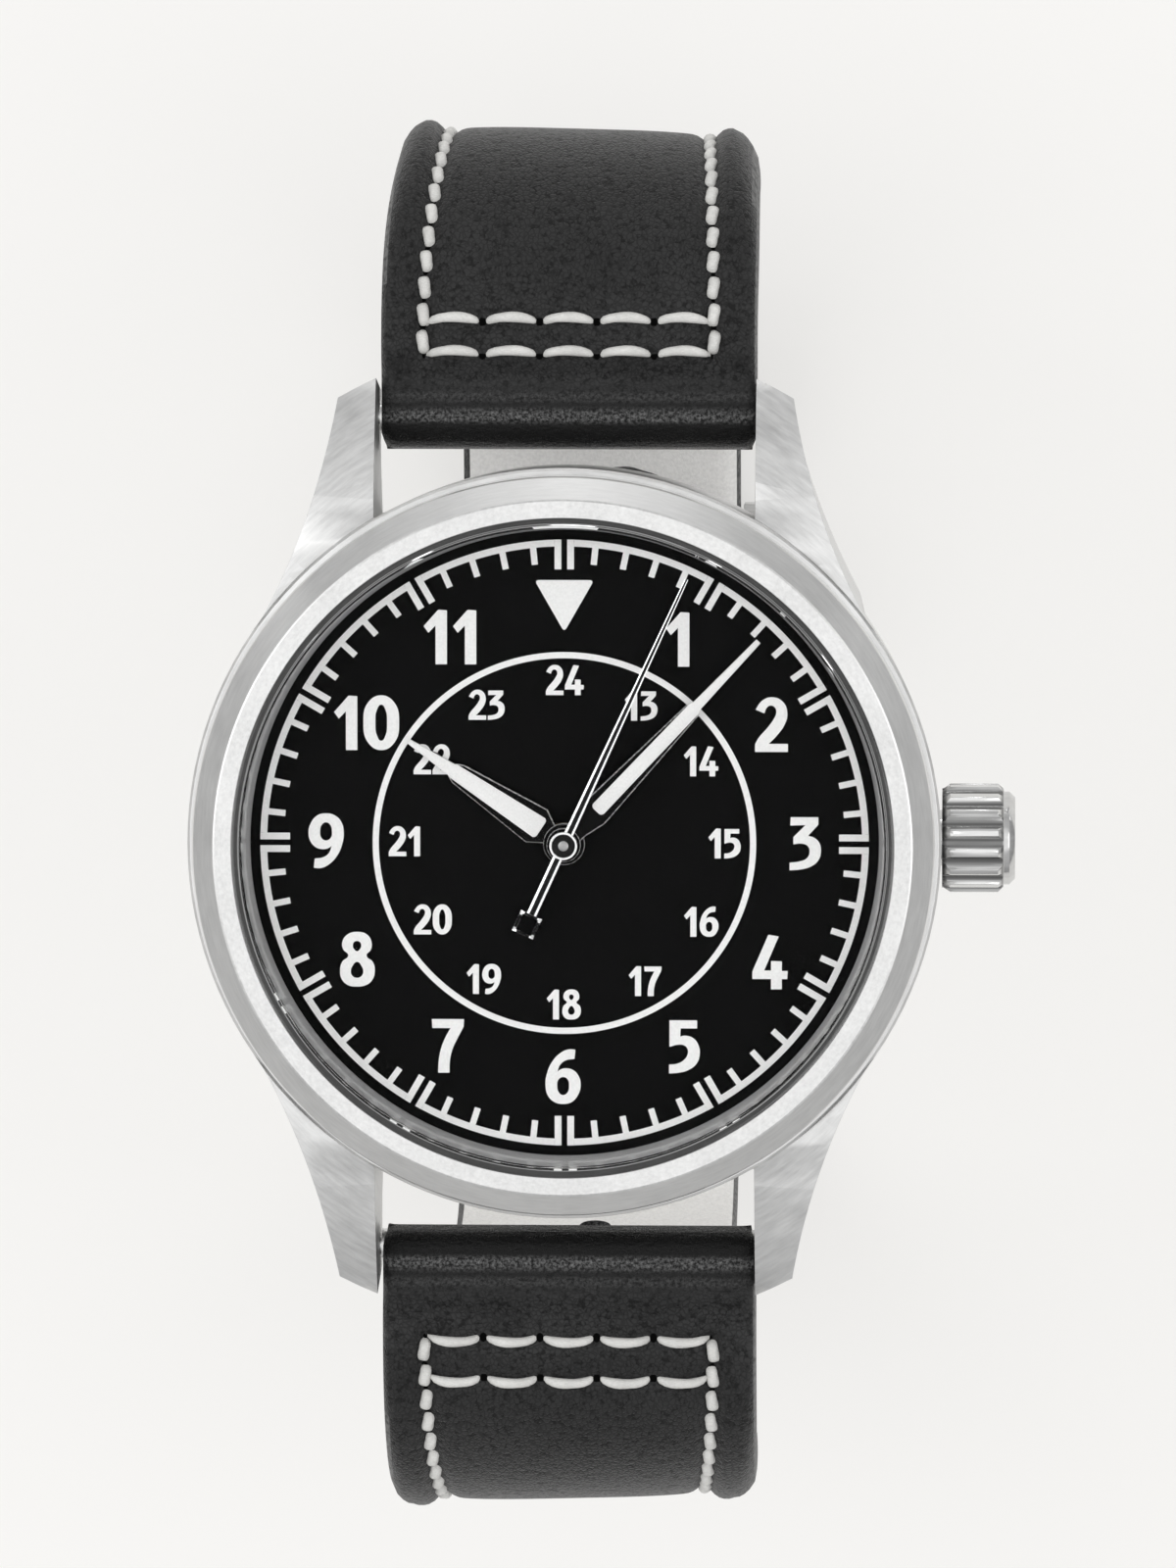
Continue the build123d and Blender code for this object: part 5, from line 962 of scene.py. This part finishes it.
class WATCH_OT_crystal(bpy.types.Operator):
    """Turns the crystal, the back window and the rings that hold them"""
    bl_idname = "watch.make_crystal"
    bl_label = "Crystals and rings"

    def execute(self, context):
        glass = plain_material("Coated crystal", (1.0, 1.0, 1.0), 0.0, transmission_weight=1.0, ior=1.77)
        tree = glass.node_tree
        shader = tree.nodes["Principled BSDF"]
        shader.inputs["Specular Tint"].default_value = (0.012, 0.012, 0.012, 1)
        clear = put(tree, "ShaderNodeBsdfTransparent", {"Color": (0.97, 0.97, 0.97, 1)})
        mixed = put(tree, "ShaderNodeMixShader")
        tree.links.new(put(tree, "ShaderNodeLightPath").outputs["Is Shadow Ray"], mixed.inputs["Fac"])
        tree.links.new(shader.outputs[0], mixed.inputs[1])
        tree.links.new(clear.outputs[0], mixed.inputs[2])
        tree.links.new(mixed.outputs[0], tree.nodes["Material Output"].inputs["Surface"])
        self.ring("front_crystal", "crystal", [glass], "sapphire",
                  [(0, 10.0), (17.1, 10.0), (17.1, 11.74), (17.0, 11.85), (0, 11.85)], 192)
        self.ring("rear_crystal", "back_window", [glass], "sapphire",
                  [(0, 0.1), (12.5, 0.1), (12.6, 0.2), (12.6, 1.3), (0, 1.3)], 192)
        rubber = grain_material("Seal rubber", (0.02, 0.02, 0.02), leather_grain(), 0.000005,
                                settings={"Pebbles": 9000.0})
        paint_node(rubber, "back_window_gasket", "back_gasket", "crown_gasket")
        lip = grain_material("Crystal lip", (0.3, 0.3, 0.3), ring_brushing(), 0.0000004, 1.0,
                             {"Shine Low": 0.04, "Shine High": 0.07, "Depth": 0.92})
        self.ring("crystal_lip", "crystal_gasket", [lip], "seal_rubber",
                  [(17.1, 10.0), (17.5, 10.0), (17.5, 11.37), (17.48, 11.38), (17.13, 11.73), (17.1, 11.73)])
        grey = grain_material("Flange grey", (0.5, 0.5, 0.5), ring_brushing(), 0.0000004, settings={
            "Density": 9000.0, "Length": 40.0, "Shine Low": 0.08, "Shine High": 0.14, "Depth": 0.85})
        flange = self.ring("flange_ring", "dial_flange", [grey, steel("Polished steel")], "flange_grey",
                           [(16.68, 7.8), (17.4, 7.8), (17.4, 9.98), (17.09, 9.98), (17.03, 9.87)])
        for face in flange.data.polygons:
            face.material_index = 1 if face.normal.z > 0.4 else 0
        return {"FINISHED"}

    def ring(self, name, node, materials, slot, outline, steps=256):
        """A turned piece of the case in place of a node"""
        shape = bmesh.new()
        turned(shape, outline, steps)
        return finish_piece(name, shape, "case", materials, 20.0, node)


class WATCH_OT_dial(bpy.types.Operator):
    """Prints the minute track, the 24 hour ring, the triangle and the numerals"""
    bl_idname = "watch.make_dial"
    bl_label = "Dial"

    hour_places = {1: (6.01, 10.87), 2: (10.98, 6.35), 3: (12.77, 0.05), 4: (10.92, -6.3), 5: (6.37, -10.82),
                   6: (-0.07, -12.48), 7: (-6.19, -10.83), 8: (-11.0, -6.24), 9: (-12.65, 0.09),
                   10: (-10.49, 6.38), 11: (-6.06, 10.96)}
    small_places = {13: (4.07, 7.34), 14: (7.25, 4.39), 15: (8.5, 0.02), 16: (7.27, -4.16),
                    17: (4.29, -7.34), 18: (-0.03, -8.61), 19: (-4.28, -7.26), 20: (-6.99, -4.09),
                    21: (-8.49, 0.08), 22: (-7.03, 4.45), 23: (-4.12, 7.36), 24: (0.03, 8.69)}
    tick_half, tick_gap, ring_line = 0.165, 0.003, 0.33
    triangle, triangle_corner = ((-1.58, 14.0), (1.58, 14.0), (0, 11.24)), 0.23

    def execute(self, context):
        dial = context.scene.watch_dial
        base = plain_material("Dial black", (0.002, 0.002, 0.002), 0.42, specular_ior_level=0.03)
        tree = base.node_tree
        parts = put(tree, "ShaderNodeSeparateXYZ", {"Vector": place_vector(tree)}).outputs
        turn = put(tree, "ShaderNodeVectorMath", {0: put(tree, "ShaderNodeCombineXYZ", {
            "X": parts["X"], "Y": parts["Y"], "Z": 0.0}).outputs[0]}, operation="NORMALIZE").outputs[0]
        ray = noise(tree, turn, 46.0, 3.0, 0.7)
        feed(tree, "Roughness", ramp(tree, ray, 0.3, 0.7, 0.34, 0.5))
        feed(tree, "Base Color", blend_colours(tree, ray, (0.001, 0.001, 0.001), (0.003, 0.003, 0.003)))
        relief(tree, ray, 0.000004)
        paint_node(base, "dial")

        ink = luminous_print()
        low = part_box("dial")[1].z / MM
        high = low + dial.print_height / MM
        outer, line = dial.track_radius / MM, dial.track_line / MM
        offset = (dial.bar_gap + dial.track_line) / 2 / MM
        bar_end, tick_end = outer - dial.bar_length / MM, outer - dial.tick_length / MM
        beside = degrees(asin((offset + line / 2) / (outer - line)))
        shape = bmesh.new()
        for hour in range(12):
            turned(shape, [(outer - line, low), (outer, low), (outer, high), (outer - line, high)],
                   20, radians(30 - 2 * beside), radians(hour * 30 + beside))
            for middle in (offset, -offset):
                bar = slab(shape, bar_end, outer, middle - line / 2, middle + line / 2, low, high)
                turn_flat(shape, bar, hour * 30)
            for minute in range(1, 5):
                tick = slab(shape, tick_end, outer - line - self.tick_gap, -self.tick_half, self.tick_half,
                            low, high)
                turn_flat(shape, tick, hour * 30 + minute * 6)
        finish_piece("minute_track", shape, "case", [ink], smooth=20.0)

        shape = bmesh.new()
        outer = dial.ring_radius / MM
        inner = outer - self.ring_line
        turned(shape, [(inner, low), (outer, low), (outer, high), (inner, high)])
        finish_piece("hour_ring", shape, "case", [ink], smooth=20.0)

        shape = bmesh.new()
        prism(shape, self.triangle, low, high)
        bevel(shape, [e for e in shape.edges if abs(e.verts[0].co.z - e.verts[1].co.z) > 0.001],
              self.triangle_corner, 4)
        finish_piece("twelve_triangle", shape, "case", [ink], smooth=20.0)

        for name, places, height, narrow in (("hour_numerals", self.hour_places, dial.hour_height, 0.97),
                                             ("small_numerals", self.small_places, dial.small_height, 0.94)):
            curve = bpy.data.curves.new(name, "CURVE")
            for hour, place in places.items():
                lay_number(curve, str(hour), place, height / MM, narrow)
            curve_piece(curve, name, low, high, ink)
        return {"FINISHED"}


class WATCH_OT_hands(bpy.types.Operator):
    """Makes the framed hour and minute hands and the seconds hand"""
    bl_idname = "watch.make_hands"
    bl_label = "Hands"

    # Name, body, degrees from 12, bottom, radius of hub and of bore, right side of frame and of fill
    framed_hands = (
        ("hour_hand", "hours", 303.5, 8.1, 1.1, 0.85,
         [(0.42, 0.7), (1.05, 1.75), (0.57, 6.75), (0.4, 7.1)],
         [(0.56, 1.45), (0.6, 1.6), (0.4, 7.05), (0.34, 7.15), (0.13, 9.85)]),
        ("minute_hand", "minutes", 43.5, 8.65, 0.9, 0.58,
         [(0.5, 0.5), (0.5, 1.1), (0.79, 2.3), (0.79, 2.6), (0.43, 9.9), (0.3, 10.2)],
         [(0.4, 2.5), (0.36, 10.1), (0.27, 10.25), (0.15, 14.97)]))
    thickness = 0.2
    seconds_angle, seconds_bottom, seconds_top = 24.7, 9.2, 9.35
    needle = ((0.09, 15.6), (-0.09, 15.6), (-0.25, 0), (-0.26, -4.02), (0.26, -4.02), (0.25, 0))
    needle_crest, bar_crest = 0.52, 0.6
    # Middle and size of each bar of the hollow counterweight
    counterweight = ((-0.52, -4.62, 0.2, 1.2), (0.52, -4.62, 0.2, 1.2),
                     (0, -4.1, 1.24, 0.16), (0, -5.14, 1.24, 0.16))

    def ridged(self, shape, outline, bottom, top, keep):
        """A thin block whose sides slope up to a narrower top"""
        block = prism(shape, outline, bottom, top - 0.035)
        upper = [v for v in block if v.co.z > bottom + 0.01]
        face = next(f for f in shape.faces if all(v in upper for v in f.verts))
        made = bmesh.ops.extrude_face_region(shape, geom=[face])["geom"]
        bmesh.ops.delete(shape, geom=[face], context="FACES_ONLY")
        crest = [v for v in made if isinstance(v, bmesh.types.BMVert)]
        middle = sum((v.co.x for v in crest)) / len(crest)
        for vert in crest:
            vert.co.x = middle + (vert.co.x - middle) * keep
            vert.co.z = top

    def edge_faces(self, piece):
        for face in piece.data.polygons:
            face.material_index = 0 if face.normal.z > 0.992 else 1

    def execute(self, context):
        hands = context.scene.watch_hands
        edge = hands.edge_width / MM
        black = grain_material("Hand black", hands.frame_colour[:], straight_brushing(), 0.0000005,
                               settings={"Shine Low": 0.35, "Shine High": 0.5}, specular_ior_level=0.05)
        bright = grain_material("Hand edge steel", (0.92, 0.92, 0.92), straight_brushing(), 0.0000005, 1.0,
                                settings={"Shine Low": 0.22, "Shine High": 0.32})
        dark = grain_material("Black polish", (0.008, 0.008, 0.008), straight_brushing(), 0.0000005, 0.0,
                              settings={"Shine Low": 0.3, "Shine High": 0.4}, specular_ior_level=0.1)
        pin = grain_material("Pin steel", (0.36, 0.36, 0.36), straight_brushing(), 0.0000005, 1.0)
        fill = luminous_print()
        for name, body, angle, bottom, hub, bore, frame_side, fill_side in self.framed_hands:
            top = bottom + self.thickness
            shape = bmesh.new()
            prism(shape, mirrored(frame_side), bottom, top)
            soften(shape, edge, 1, keep=lambda e: min(v.co.z for v in e.verts) > bottom + 0.1)
            turn_flat(shape, shape.verts, -angle)
            turned(shape, [(bore, bottom - 0.14), (hub, bottom - 0.14), (hub, top + 0.02),
                           (hub - 0.03, top + 0.05), (bore, top + 0.05)], steps=96)
            self.edge_faces(finish_piece(name + "_frame", shape, body, [black, bright],
                                         node=name))
            shape = bmesh.new()
            prism(shape, mirrored(fill_side), top - 0.12, top + 0.05)
            bevel(shape, [e for e in shape.edges if abs(e.verts[0].co.z - e.verts[1].co.z) > 0.1
                          and e.verts[0].co.y < fill_side[0][1] + 0.01], 0.22, 4)
            soften(shape, 0.04, 2, keep=lambda e: min(v.co.z for v in e.verts) > top)
            turn_flat(shape, shape.verts, -angle)
            finish_piece(name + "_fill", shape, body, [fill], node=name + "_lume")

        bottom, top = self.seconds_bottom, self.seconds_top
        shape = bmesh.new()
        self.ridged(shape, self.needle, bottom, top, self.needle_crest)
        for x, y, wide, long in self.counterweight:
            for vert in slab(shape, x - wide / 2, x + wide / 2, y - long / 2, y + long / 2,
                             bottom, top - 0.03):
                if vert.co.z > bottom + 0.01:
                    vert.co.x = x + (vert.co.x - x) * self.bar_crest
                    vert.co.y = y + (vert.co.y - y) * self.bar_crest
        turn_flat(shape, shape.verts, -self.seconds_angle)
        turned(shape, [(0.2, bottom - 0.14), (0.75, bottom - 0.14), (0.75, top), (0.73, top + 0.04),
                       (0.63, top + 0.04), (0.61, top + 0.01), (0.2, top + 0.01)], steps=96)
        turned(shape, [(0, top), (0.27, top), (0.27, top + 0.04), (0.2, top + 0.07), (0, top + 0.07)], 48)
        piece = finish_piece("seconds_needle", shape, "seconds", [dark, bright, pin],
                             node="seconds_hand")
        self.edge_faces(piece)
        for face in piece.data.polygons:
            radius = face.center.to_2d().length / MM
            if face.center.z > (top + 0.03) * MM and 0.62 < radius < 0.74:
                face.material_index = 1
            elif radius < 0.275:
                face.material_index = 2
        return {"FINISHED"}


class WATCH_OT_strap(bpy.types.Operator):
    """Makes the two padded leather halves"""
    bl_idname = "watch.make_strap"
    bl_label = "Strap"

    around, per_mm, nose_end, tail_shift, tail_settled = 108, 2.4, 0.8, 0.6, (2.6, 4.2)

    def execute(self, context):
        strap = context.scene.watch_strap
        face = leather_material("Black leather", strap.leather_colour[:])
        lining = grain_material("Lining leather", strap.lining_colour[:], leather_grain(), 0.00001,
                                settings={"Pebbles": 5200.0}, shade=speckle(5200.0, 3.0, 0.92, 1.06))
        # Edge paint in a grey lighter than the face: partly the paint's own colour, partly painted sheen
        # along the edges
        rim = grain_material("Edge paint and sheen", (0.09, 0.09, 0.09), leather_grain(), 0.00001,
                             settings={"Pebbles": 2200.0})
        for half, facts in HALVES.items():
            length = strap_length(half)
            end = length + (THIN_HALF if half == "buckle" else 0)
            shape = bmesh.new()
            along_layer = shape.verts.layers.float.new("along")
            edge_layer = shape.verts.layers.float.new("edge")
            rows = int((end + FOLD_HALF) * self.per_mm)
            bmesh.ops.create_grid(shape, x_segments=self.around, y_segments=rows, size=1.0)
            nose = NOSES[half]
            for vert in shape.verts:
                turn = (vert.co.x + 1) / 2
                along = (vert.co.y + 1) / 2 * (end + nose) - nose
                if along < self.nose_end:
                    share = (along + nose) / (nose + self.nose_end)
                    along = self.nose_end * share - nose * cos(pi / 2 * share)
                # On the tail, what follows 'along' (the creasing, the painted shade and the painted
                # highlight flecks) sits a little farther from the bar
                shift = self.tail_shift * (1 - ease(along, *self.tail_settled)) if half == "tail" else 0.0
                vert[along_layer] = along - shift
                vert[edge_layer] = ease(abs(turn / FACE_END * 2 - 1), 0.9, 1.0) if turn < FACE_END else 1.0
                vert.co = self.skin(half, along, turn, length)
            bmesh.ops.remove_doubles(shape, verts=shape.verts, dist=0.004)
            bmesh.ops.holes_fill(shape, edges=shape.edges, sides=0)
            piece = finish_piece(facts["node"] + "_leather", shape, facts["body"], [face, lining, rim],
                                 smooth=50.0)
            self.part_faces(piece, half)
            if half == "tail":
                self.punch(piece)
            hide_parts(facts["node"])
        return {"FINISHED"}

    def skin(self, half, along, turn, length):
        """Point of the skin; past the end of the buckle half it closes round the bar"""
        if along <= length:
            return loop_point(half, along, turn)
        extra = along - length
        squeeze = sqrt(max(0.0, 1 - (extra / THIN_HALF) ** 2))
        point = loop_point(half, length, turn)
        forward = strap_axes(half, length)[0]
        middle = strap_point(half, length, point.x, 0)
        return middle + forward * extra + (point - middle) * squeeze

    def part_faces(self, piece, half):
        """Lining on the inner side, edge paint with painted sheen on the edges"""
        layer = piece.data.attributes["along"].data
        for polygon in piece.data.polygons:
            along = sum(layer[v].value for v in polygon.vertices) / len(polygon.vertices)
            if along <= 1.0:
                continue
            out = strap_axes(half, min(along, strap_length(half)))[1]
            if polygon.normal.dot(out) < -0.6:
                polygon.material_index = 1
            elif abs(polygon.normal.x) > 0.85:
                polygon.material_index = 2

    def punch(self, piece):
        """Cuts the holes through the tail"""
        shape = bmesh.new()
        for hole in range(HOLES):
            along = strap_length("tail") + TIP_TRIM - FIRST_HOLE - HOLE_PITCH * hole
            across, out = Vector((1, 0, 0)), strap_axes("tail", along)[1]
            place = framed(strap_point("tail", along, 0, 0), across, out.cross(across), out)
            bmesh.ops.create_cone(shape, cap_ends=True, segments=24, radius1=HOLE_RADIUS,
                                  radius2=HOLE_RADIUS, depth=8.0, matrix=place)
        bmesh.ops.scale(shape, vec=(MM, MM, MM), verts=shape.verts)
        cutter = add_object("punch", to_mesh(shape, "punch"))
        cut = piece.modifiers.new("Holes", "BOOLEAN")
        cut.operation = "DIFFERENCE"
        cut.object = cutter
        cut.solver = "EXACT"
        ready = evaluated_mesh(piece)
        piece.modifiers.clear()
        piece.data = ready
        bpy.data.objects.remove(cutter)


class WATCH_OT_stitching(bpy.types.Operator):
    """Sews the white thread: two rows by each lug and a line along each edge, with discs of painted shade at
    the needle holes
    """
    bl_idname = "watch.make_stitching"
    bl_label = "Stitching"

    row_inset, row_gap, row_bow, row_turns, row_lift = 0.15, 0.08, 0.26, 1.6, 0.26
    edge_start, edge_turns, edge_lift, edge_lean, seam_out = 0.1, 1.2, 0.28, 0.16, 2.3
    hole_lift, hole_half_width, hole_half_length = 0.05, 0.2, 0.26

    def execute(self, context):
        strap = context.scene.watch_strap
        thread = grain_material("Waxed thread", strap.thread_colour[:], thread_twist(), 0.00004)
        # Painted shade: near-black discs stand in for the shade inside the needle holes
        hole = plain_material("Needle hole", (0.002, 0.002, 0.002), 0.8, specular_ior_level=0.02)
        width, pitch, count = strap.thread_width / MM, strap.edge_pitch / MM, strap.stitches_across
        for half, facts in HALVES.items():
            shape, hole_shades = bmesh.new(), bmesh.new()
            for row in ROWS[half]:
                reach = seam_across(half, row) - self.row_inset
                step = 2 * reach / count
                template = ply_template(step - self.row_gap, width * 0.8, self.row_bow, self.row_turns)
                across, out = Vector((facts["side"], 0, 0)), strap_axes(half, row)[1]
                for index in range(count):
                    place = on_face(half, row, (index + 0.5) * step - reach, width * self.row_lift)
                    lay_stitch(shape, template, place, across, out)
                for index in range(count + 1):
                    self.prick(hole_shades, half, row, index * step - reach)
                bpy.data.meshes.remove(template)
            template = ply_template(pitch * 0.9, width * 0.95, 0.0, self.edge_turns)
            along = ROWS[half][0] - self.edge_start + pitch / 2
            while along < strap_length(half) - facts["stitch_end"]:
                forward, out = strap_axes(half, along)
                for side in (1, -1):
                    across = side * seam_across(half, along)
                    leaning = (forward + Vector((side * self.edge_lean, 0, 0))).normalized()
                    place = on_face(half, along, across, width * self.edge_lift)
                    lay_stitch(shape, template, place, leaning, out)
                    self.prick(hole_shades, half, along + pitch / 2, across)
                along += pitch / (1 + self.seam_out / BEND_RADIUS if LEAD < along < FALL_START else 1)
            bpy.data.meshes.remove(template)
            hole_shade_mesh = to_mesh(hole_shades, "hole_shade_mesh")
            shape.from_mesh(hole_shade_mesh)
            bpy.data.meshes.remove(hole_shade_mesh)
            finish_piece(facts["node"] + "_thread", shape, facts["body"], [thread, hole],
                         smooth=60.0)
        return {"FINISHED"}

    def prick(self, shape, half, along, across):
        """A disc of painted shade where a needle's hole lies between two stitches"""
        forward, out = strap_axes(half, along)
        wide, long = out.cross(forward) * self.hole_half_width, forward * self.hole_half_length
        place = framed(on_face(half, along, across, self.hole_lift), wide, long, out)
        made = bmesh.ops.create_circle(shape, cap_ends=True, segments=10, radius=1.0, matrix=place)
        for face in {face for vert in made["verts"] for face in vert.link_faces}:
            face.material_index = 1


class WATCH_OT_keepers(bpy.types.Operator):
    """Makes the fixed and the free keeper as bands of folded leather"""
    bl_idname = "watch.make_keepers"
    bl_label = "Keepers"

    fixed_place, free_place, free_half_width = radians(48) * TURN_RADIUS + 32.0, 24.0, 8.78
    under, over, gap, corner, wall, half_wall, half_length = 0.35, 1.7, 0.06, 0.9, 0.32, 0.3, 2.45

    def execute(self, context):
        strap = context.scene.watch_strap
        leather = grain_material("Keeper leather", strap.leather_colour[:], leather_grain(), 0.00003)
        bands = (("fixed_keeper_band", "fixed_keeper", "strap_12", self.fixed_place, STRAP_END_HALF_WIDTH),
                 ("free_keeper_band", "free_keeper", "free_keeper", self.free_place, self.free_half_width))
        for name, node, body, past_fall, wide in bands:
            along = FALL_START + past_fall
            forward = strap_axes("buckle", along)[0]
            half_out = THIN_HALF + (self.under + self.over) / 2
            shape = bmesh.new()
            bmesh.ops.create_grid(shape, x_segments=96, y_segments=12, size=1.0)
            for vert in shape.verts:
                x, y, heading = self.band_place((vert.co.x + 1) / 2, wide + self.gap + self.wall,
                                                half_out + self.wall, self.corner + self.wall)
                turn = vert.co.y * pi
                push = copysign(self.half_wall * abs(cos(turn)) ** 0.5, cos(turn))
                lay = copysign(self.half_length * abs(sin(turn)) ** 0.35, sin(turn))
                vert.co = forward * lay + strap_point(
                    "buckle", along, x + sin(heading) * push,
                    (self.over - self.under) / 2 + y - cos(heading) * push)
            bmesh.ops.remove_doubles(shape, verts=shape.verts, dist=0.004)
            finish_piece(name, shape, body, [leather], 50.0, node)
        return {"FINISHED"}

    def band_place(self, share, half_x, half_y, radius):
        """Point and heading at a share of the way round a rounded rectangle"""
        flat_x, flat_y, arc = 2 * (half_x - radius), 2 * (half_y - radius), pi / 2 * radius
        way = share * (2 * flat_x + 2 * flat_y + 4 * arc)
        x, y, heading = -(half_x - radius), -half_y, 0.0
        for length, bends in 2 * ((flat_x, False), (arc, True), (flat_y, False), (arc, True)):
            step = min(way, length)
            if bends:
                cx, cy = x - radius * sin(heading), y + radius * cos(heading)
                heading += step / radius
                x, y = cx + radius * sin(heading), cy - radius * cos(heading)
            else:
                x, y = x + step * cos(heading), y + step * sin(heading)
            way -= step
            if way <= 0:
                break
        return x, y, heading


class WATCH_OT_buckle(bpy.types.Operator):
    """Dresses the buckle, its bar and tongue in brushed steel"""
    bl_idname = "watch.make_buckle"
    bl_label = "Buckle"

    def execute(self, context):
        brushed = steel("Belt brushed steel")
        dressed_copy("buckle_frame", "buckle_loop", "buckle", brushed, 0.00028, 3)
        dressed_copy("buckle_tongue", "buckle_pin", "tongue", brushed, 0.0003, 3)
        paint_node(brushed, "buckle_bar")
        return {"FINISHED"}


class WATCH_OT_movement(bpy.types.Operator):
    """Gives the movement's plates, wheels, springs and jewels their finishes"""
    bl_idname = "watch.make_movement"
    bl_label = "Movement"

    finishes = (
        ("Rhodium plate", (0.62, 0.61, 0.585), ring_brushing, 0.000002, 1.0,
         {"Density": 5000.0, "Length": 30.0, "Shine Low": 0.28, "Shine High": 0.42},
         ("main_plate", "train_bridge", "barrel_bridge", "balance_cock", "pallet_bridge")),
        ("Gilt brass", (0.72, 0.55, 0.26), ring_brushing, 0.000001, 1.0,
         {"Density": 8000.0, "Shine Low": 0.2, "Shine High": 0.32},
         ("centre_wheel", "third_wheel", "fourth_wheel", "minute_wheel", "hour_wheel", "barrel",
          "balance_wheel", "reversing_wheel", "reduction_wheel", "cannon_pinion")),
        ("Ground steel", (0.56, 0.56, 0.57), straight_brushing, 0.000001, 1.0, {},
         ("escape_wheel", "pallet_fork", "barrel_arbor", "ratchet_wheel", "crown_wheel", "click",
          "winding_stem", "winding_pinion", "sliding_pinion", "setting_lever", "rotor_bearing")),
        ("Tempered spring", (0.2, 0.24, 0.36), straight_brushing, 0.000001, 1.0, {},
         ("mainspring", "hairspring")),
        ("Ruby", (0.5, 0.01, 0.05), leather_grain, 0.0000004, 0.0, {"Pebbles": 4000.0}, ("jewels",)),
        ("Moulded holder", (0.22, 0.22, 0.22), leather_grain, 0.000004, 0.0, {"Pebbles": 5000.0},
         ("movement_holder",)),
    )

    def execute(self, context):
        for name, colour, group, bump, metallic, settings, nodes in self.finishes:
            paint_node(grain_material(name, colour, group(), bump, metallic, settings), *nodes)
        striped = grain_material("Striped rotor", (0.6, 0.6, 0.585), straight_brushing(), 0.0, 1.0)
        tree = striped.node_tree
        wave = put(tree, "ShaderNodeTexWave", {"Vector": place_vector(tree), "Scale": 190.0},
                   wave_type="BANDS", bands_direction="DIAGONAL", wave_profile="SAW").outputs["Fac"]
        relief(tree, wave, 0.00012)
        paint_node(striped, "rotor")
        return {"FINISHED"}


SETTINGS = (("watch_stage", StageSettings), ("watch_steel", SteelSettings), ("watch_dial", DialSettings),
            ("watch_hands", HandSettings), ("watch_strap", StrapSettings))
OPERATORS = (WATCH_OT_stage, WATCH_OT_case, WATCH_OT_bezel, WATCH_OT_crystal, WATCH_OT_dial, WATCH_OT_hands,
             WATCH_OT_strap, WATCH_OT_stitching, WATCH_OT_keepers, WATCH_OT_buckle, WATCH_OT_movement)


class WATCH_PT_panel(bpy.types.Panel):
    """Lists the watch's operators and settings"""
    bl_idname = "WATCH_PT_panel"
    bl_label = "Pilot Watch"
    bl_space_type = "VIEW_3D"
    bl_region_type = "UI"
    bl_category = "Watch"

    def draw(self, context):
        for operator in OPERATORS:
            self.layout.operator(operator.bl_idname)
        for name, group in SETTINGS:
            box = self.layout.box()
            box.label(text=group.__doc__)
            for setting in group.__annotations__:
                box.prop(getattr(context.scene, name), setting)


def register():
    for name, group in SETTINGS:
        bpy.utils.register_class(group)
        setattr(bpy.types.Scene, name, PointerProperty(type=group))
    for operator in OPERATORS:
        bpy.utils.register_class(operator)
    bpy.utils.register_class(WATCH_PT_panel)


def unregister():
    bpy.utils.unregister_class(WATCH_PT_panel)
    for operator in reversed(OPERATORS):
        bpy.utils.unregister_class(operator)
    for name, group in reversed(SETTINGS):
        delattr(bpy.types.Scene, name)
        bpy.utils.unregister_class(group)


def main():
    register()
    for operator in OPERATORS:
        family, name = operator.bl_idname.split(".")
        getattr(getattr(bpy.ops, family), name)()


if __name__ == "__main__":
    main()
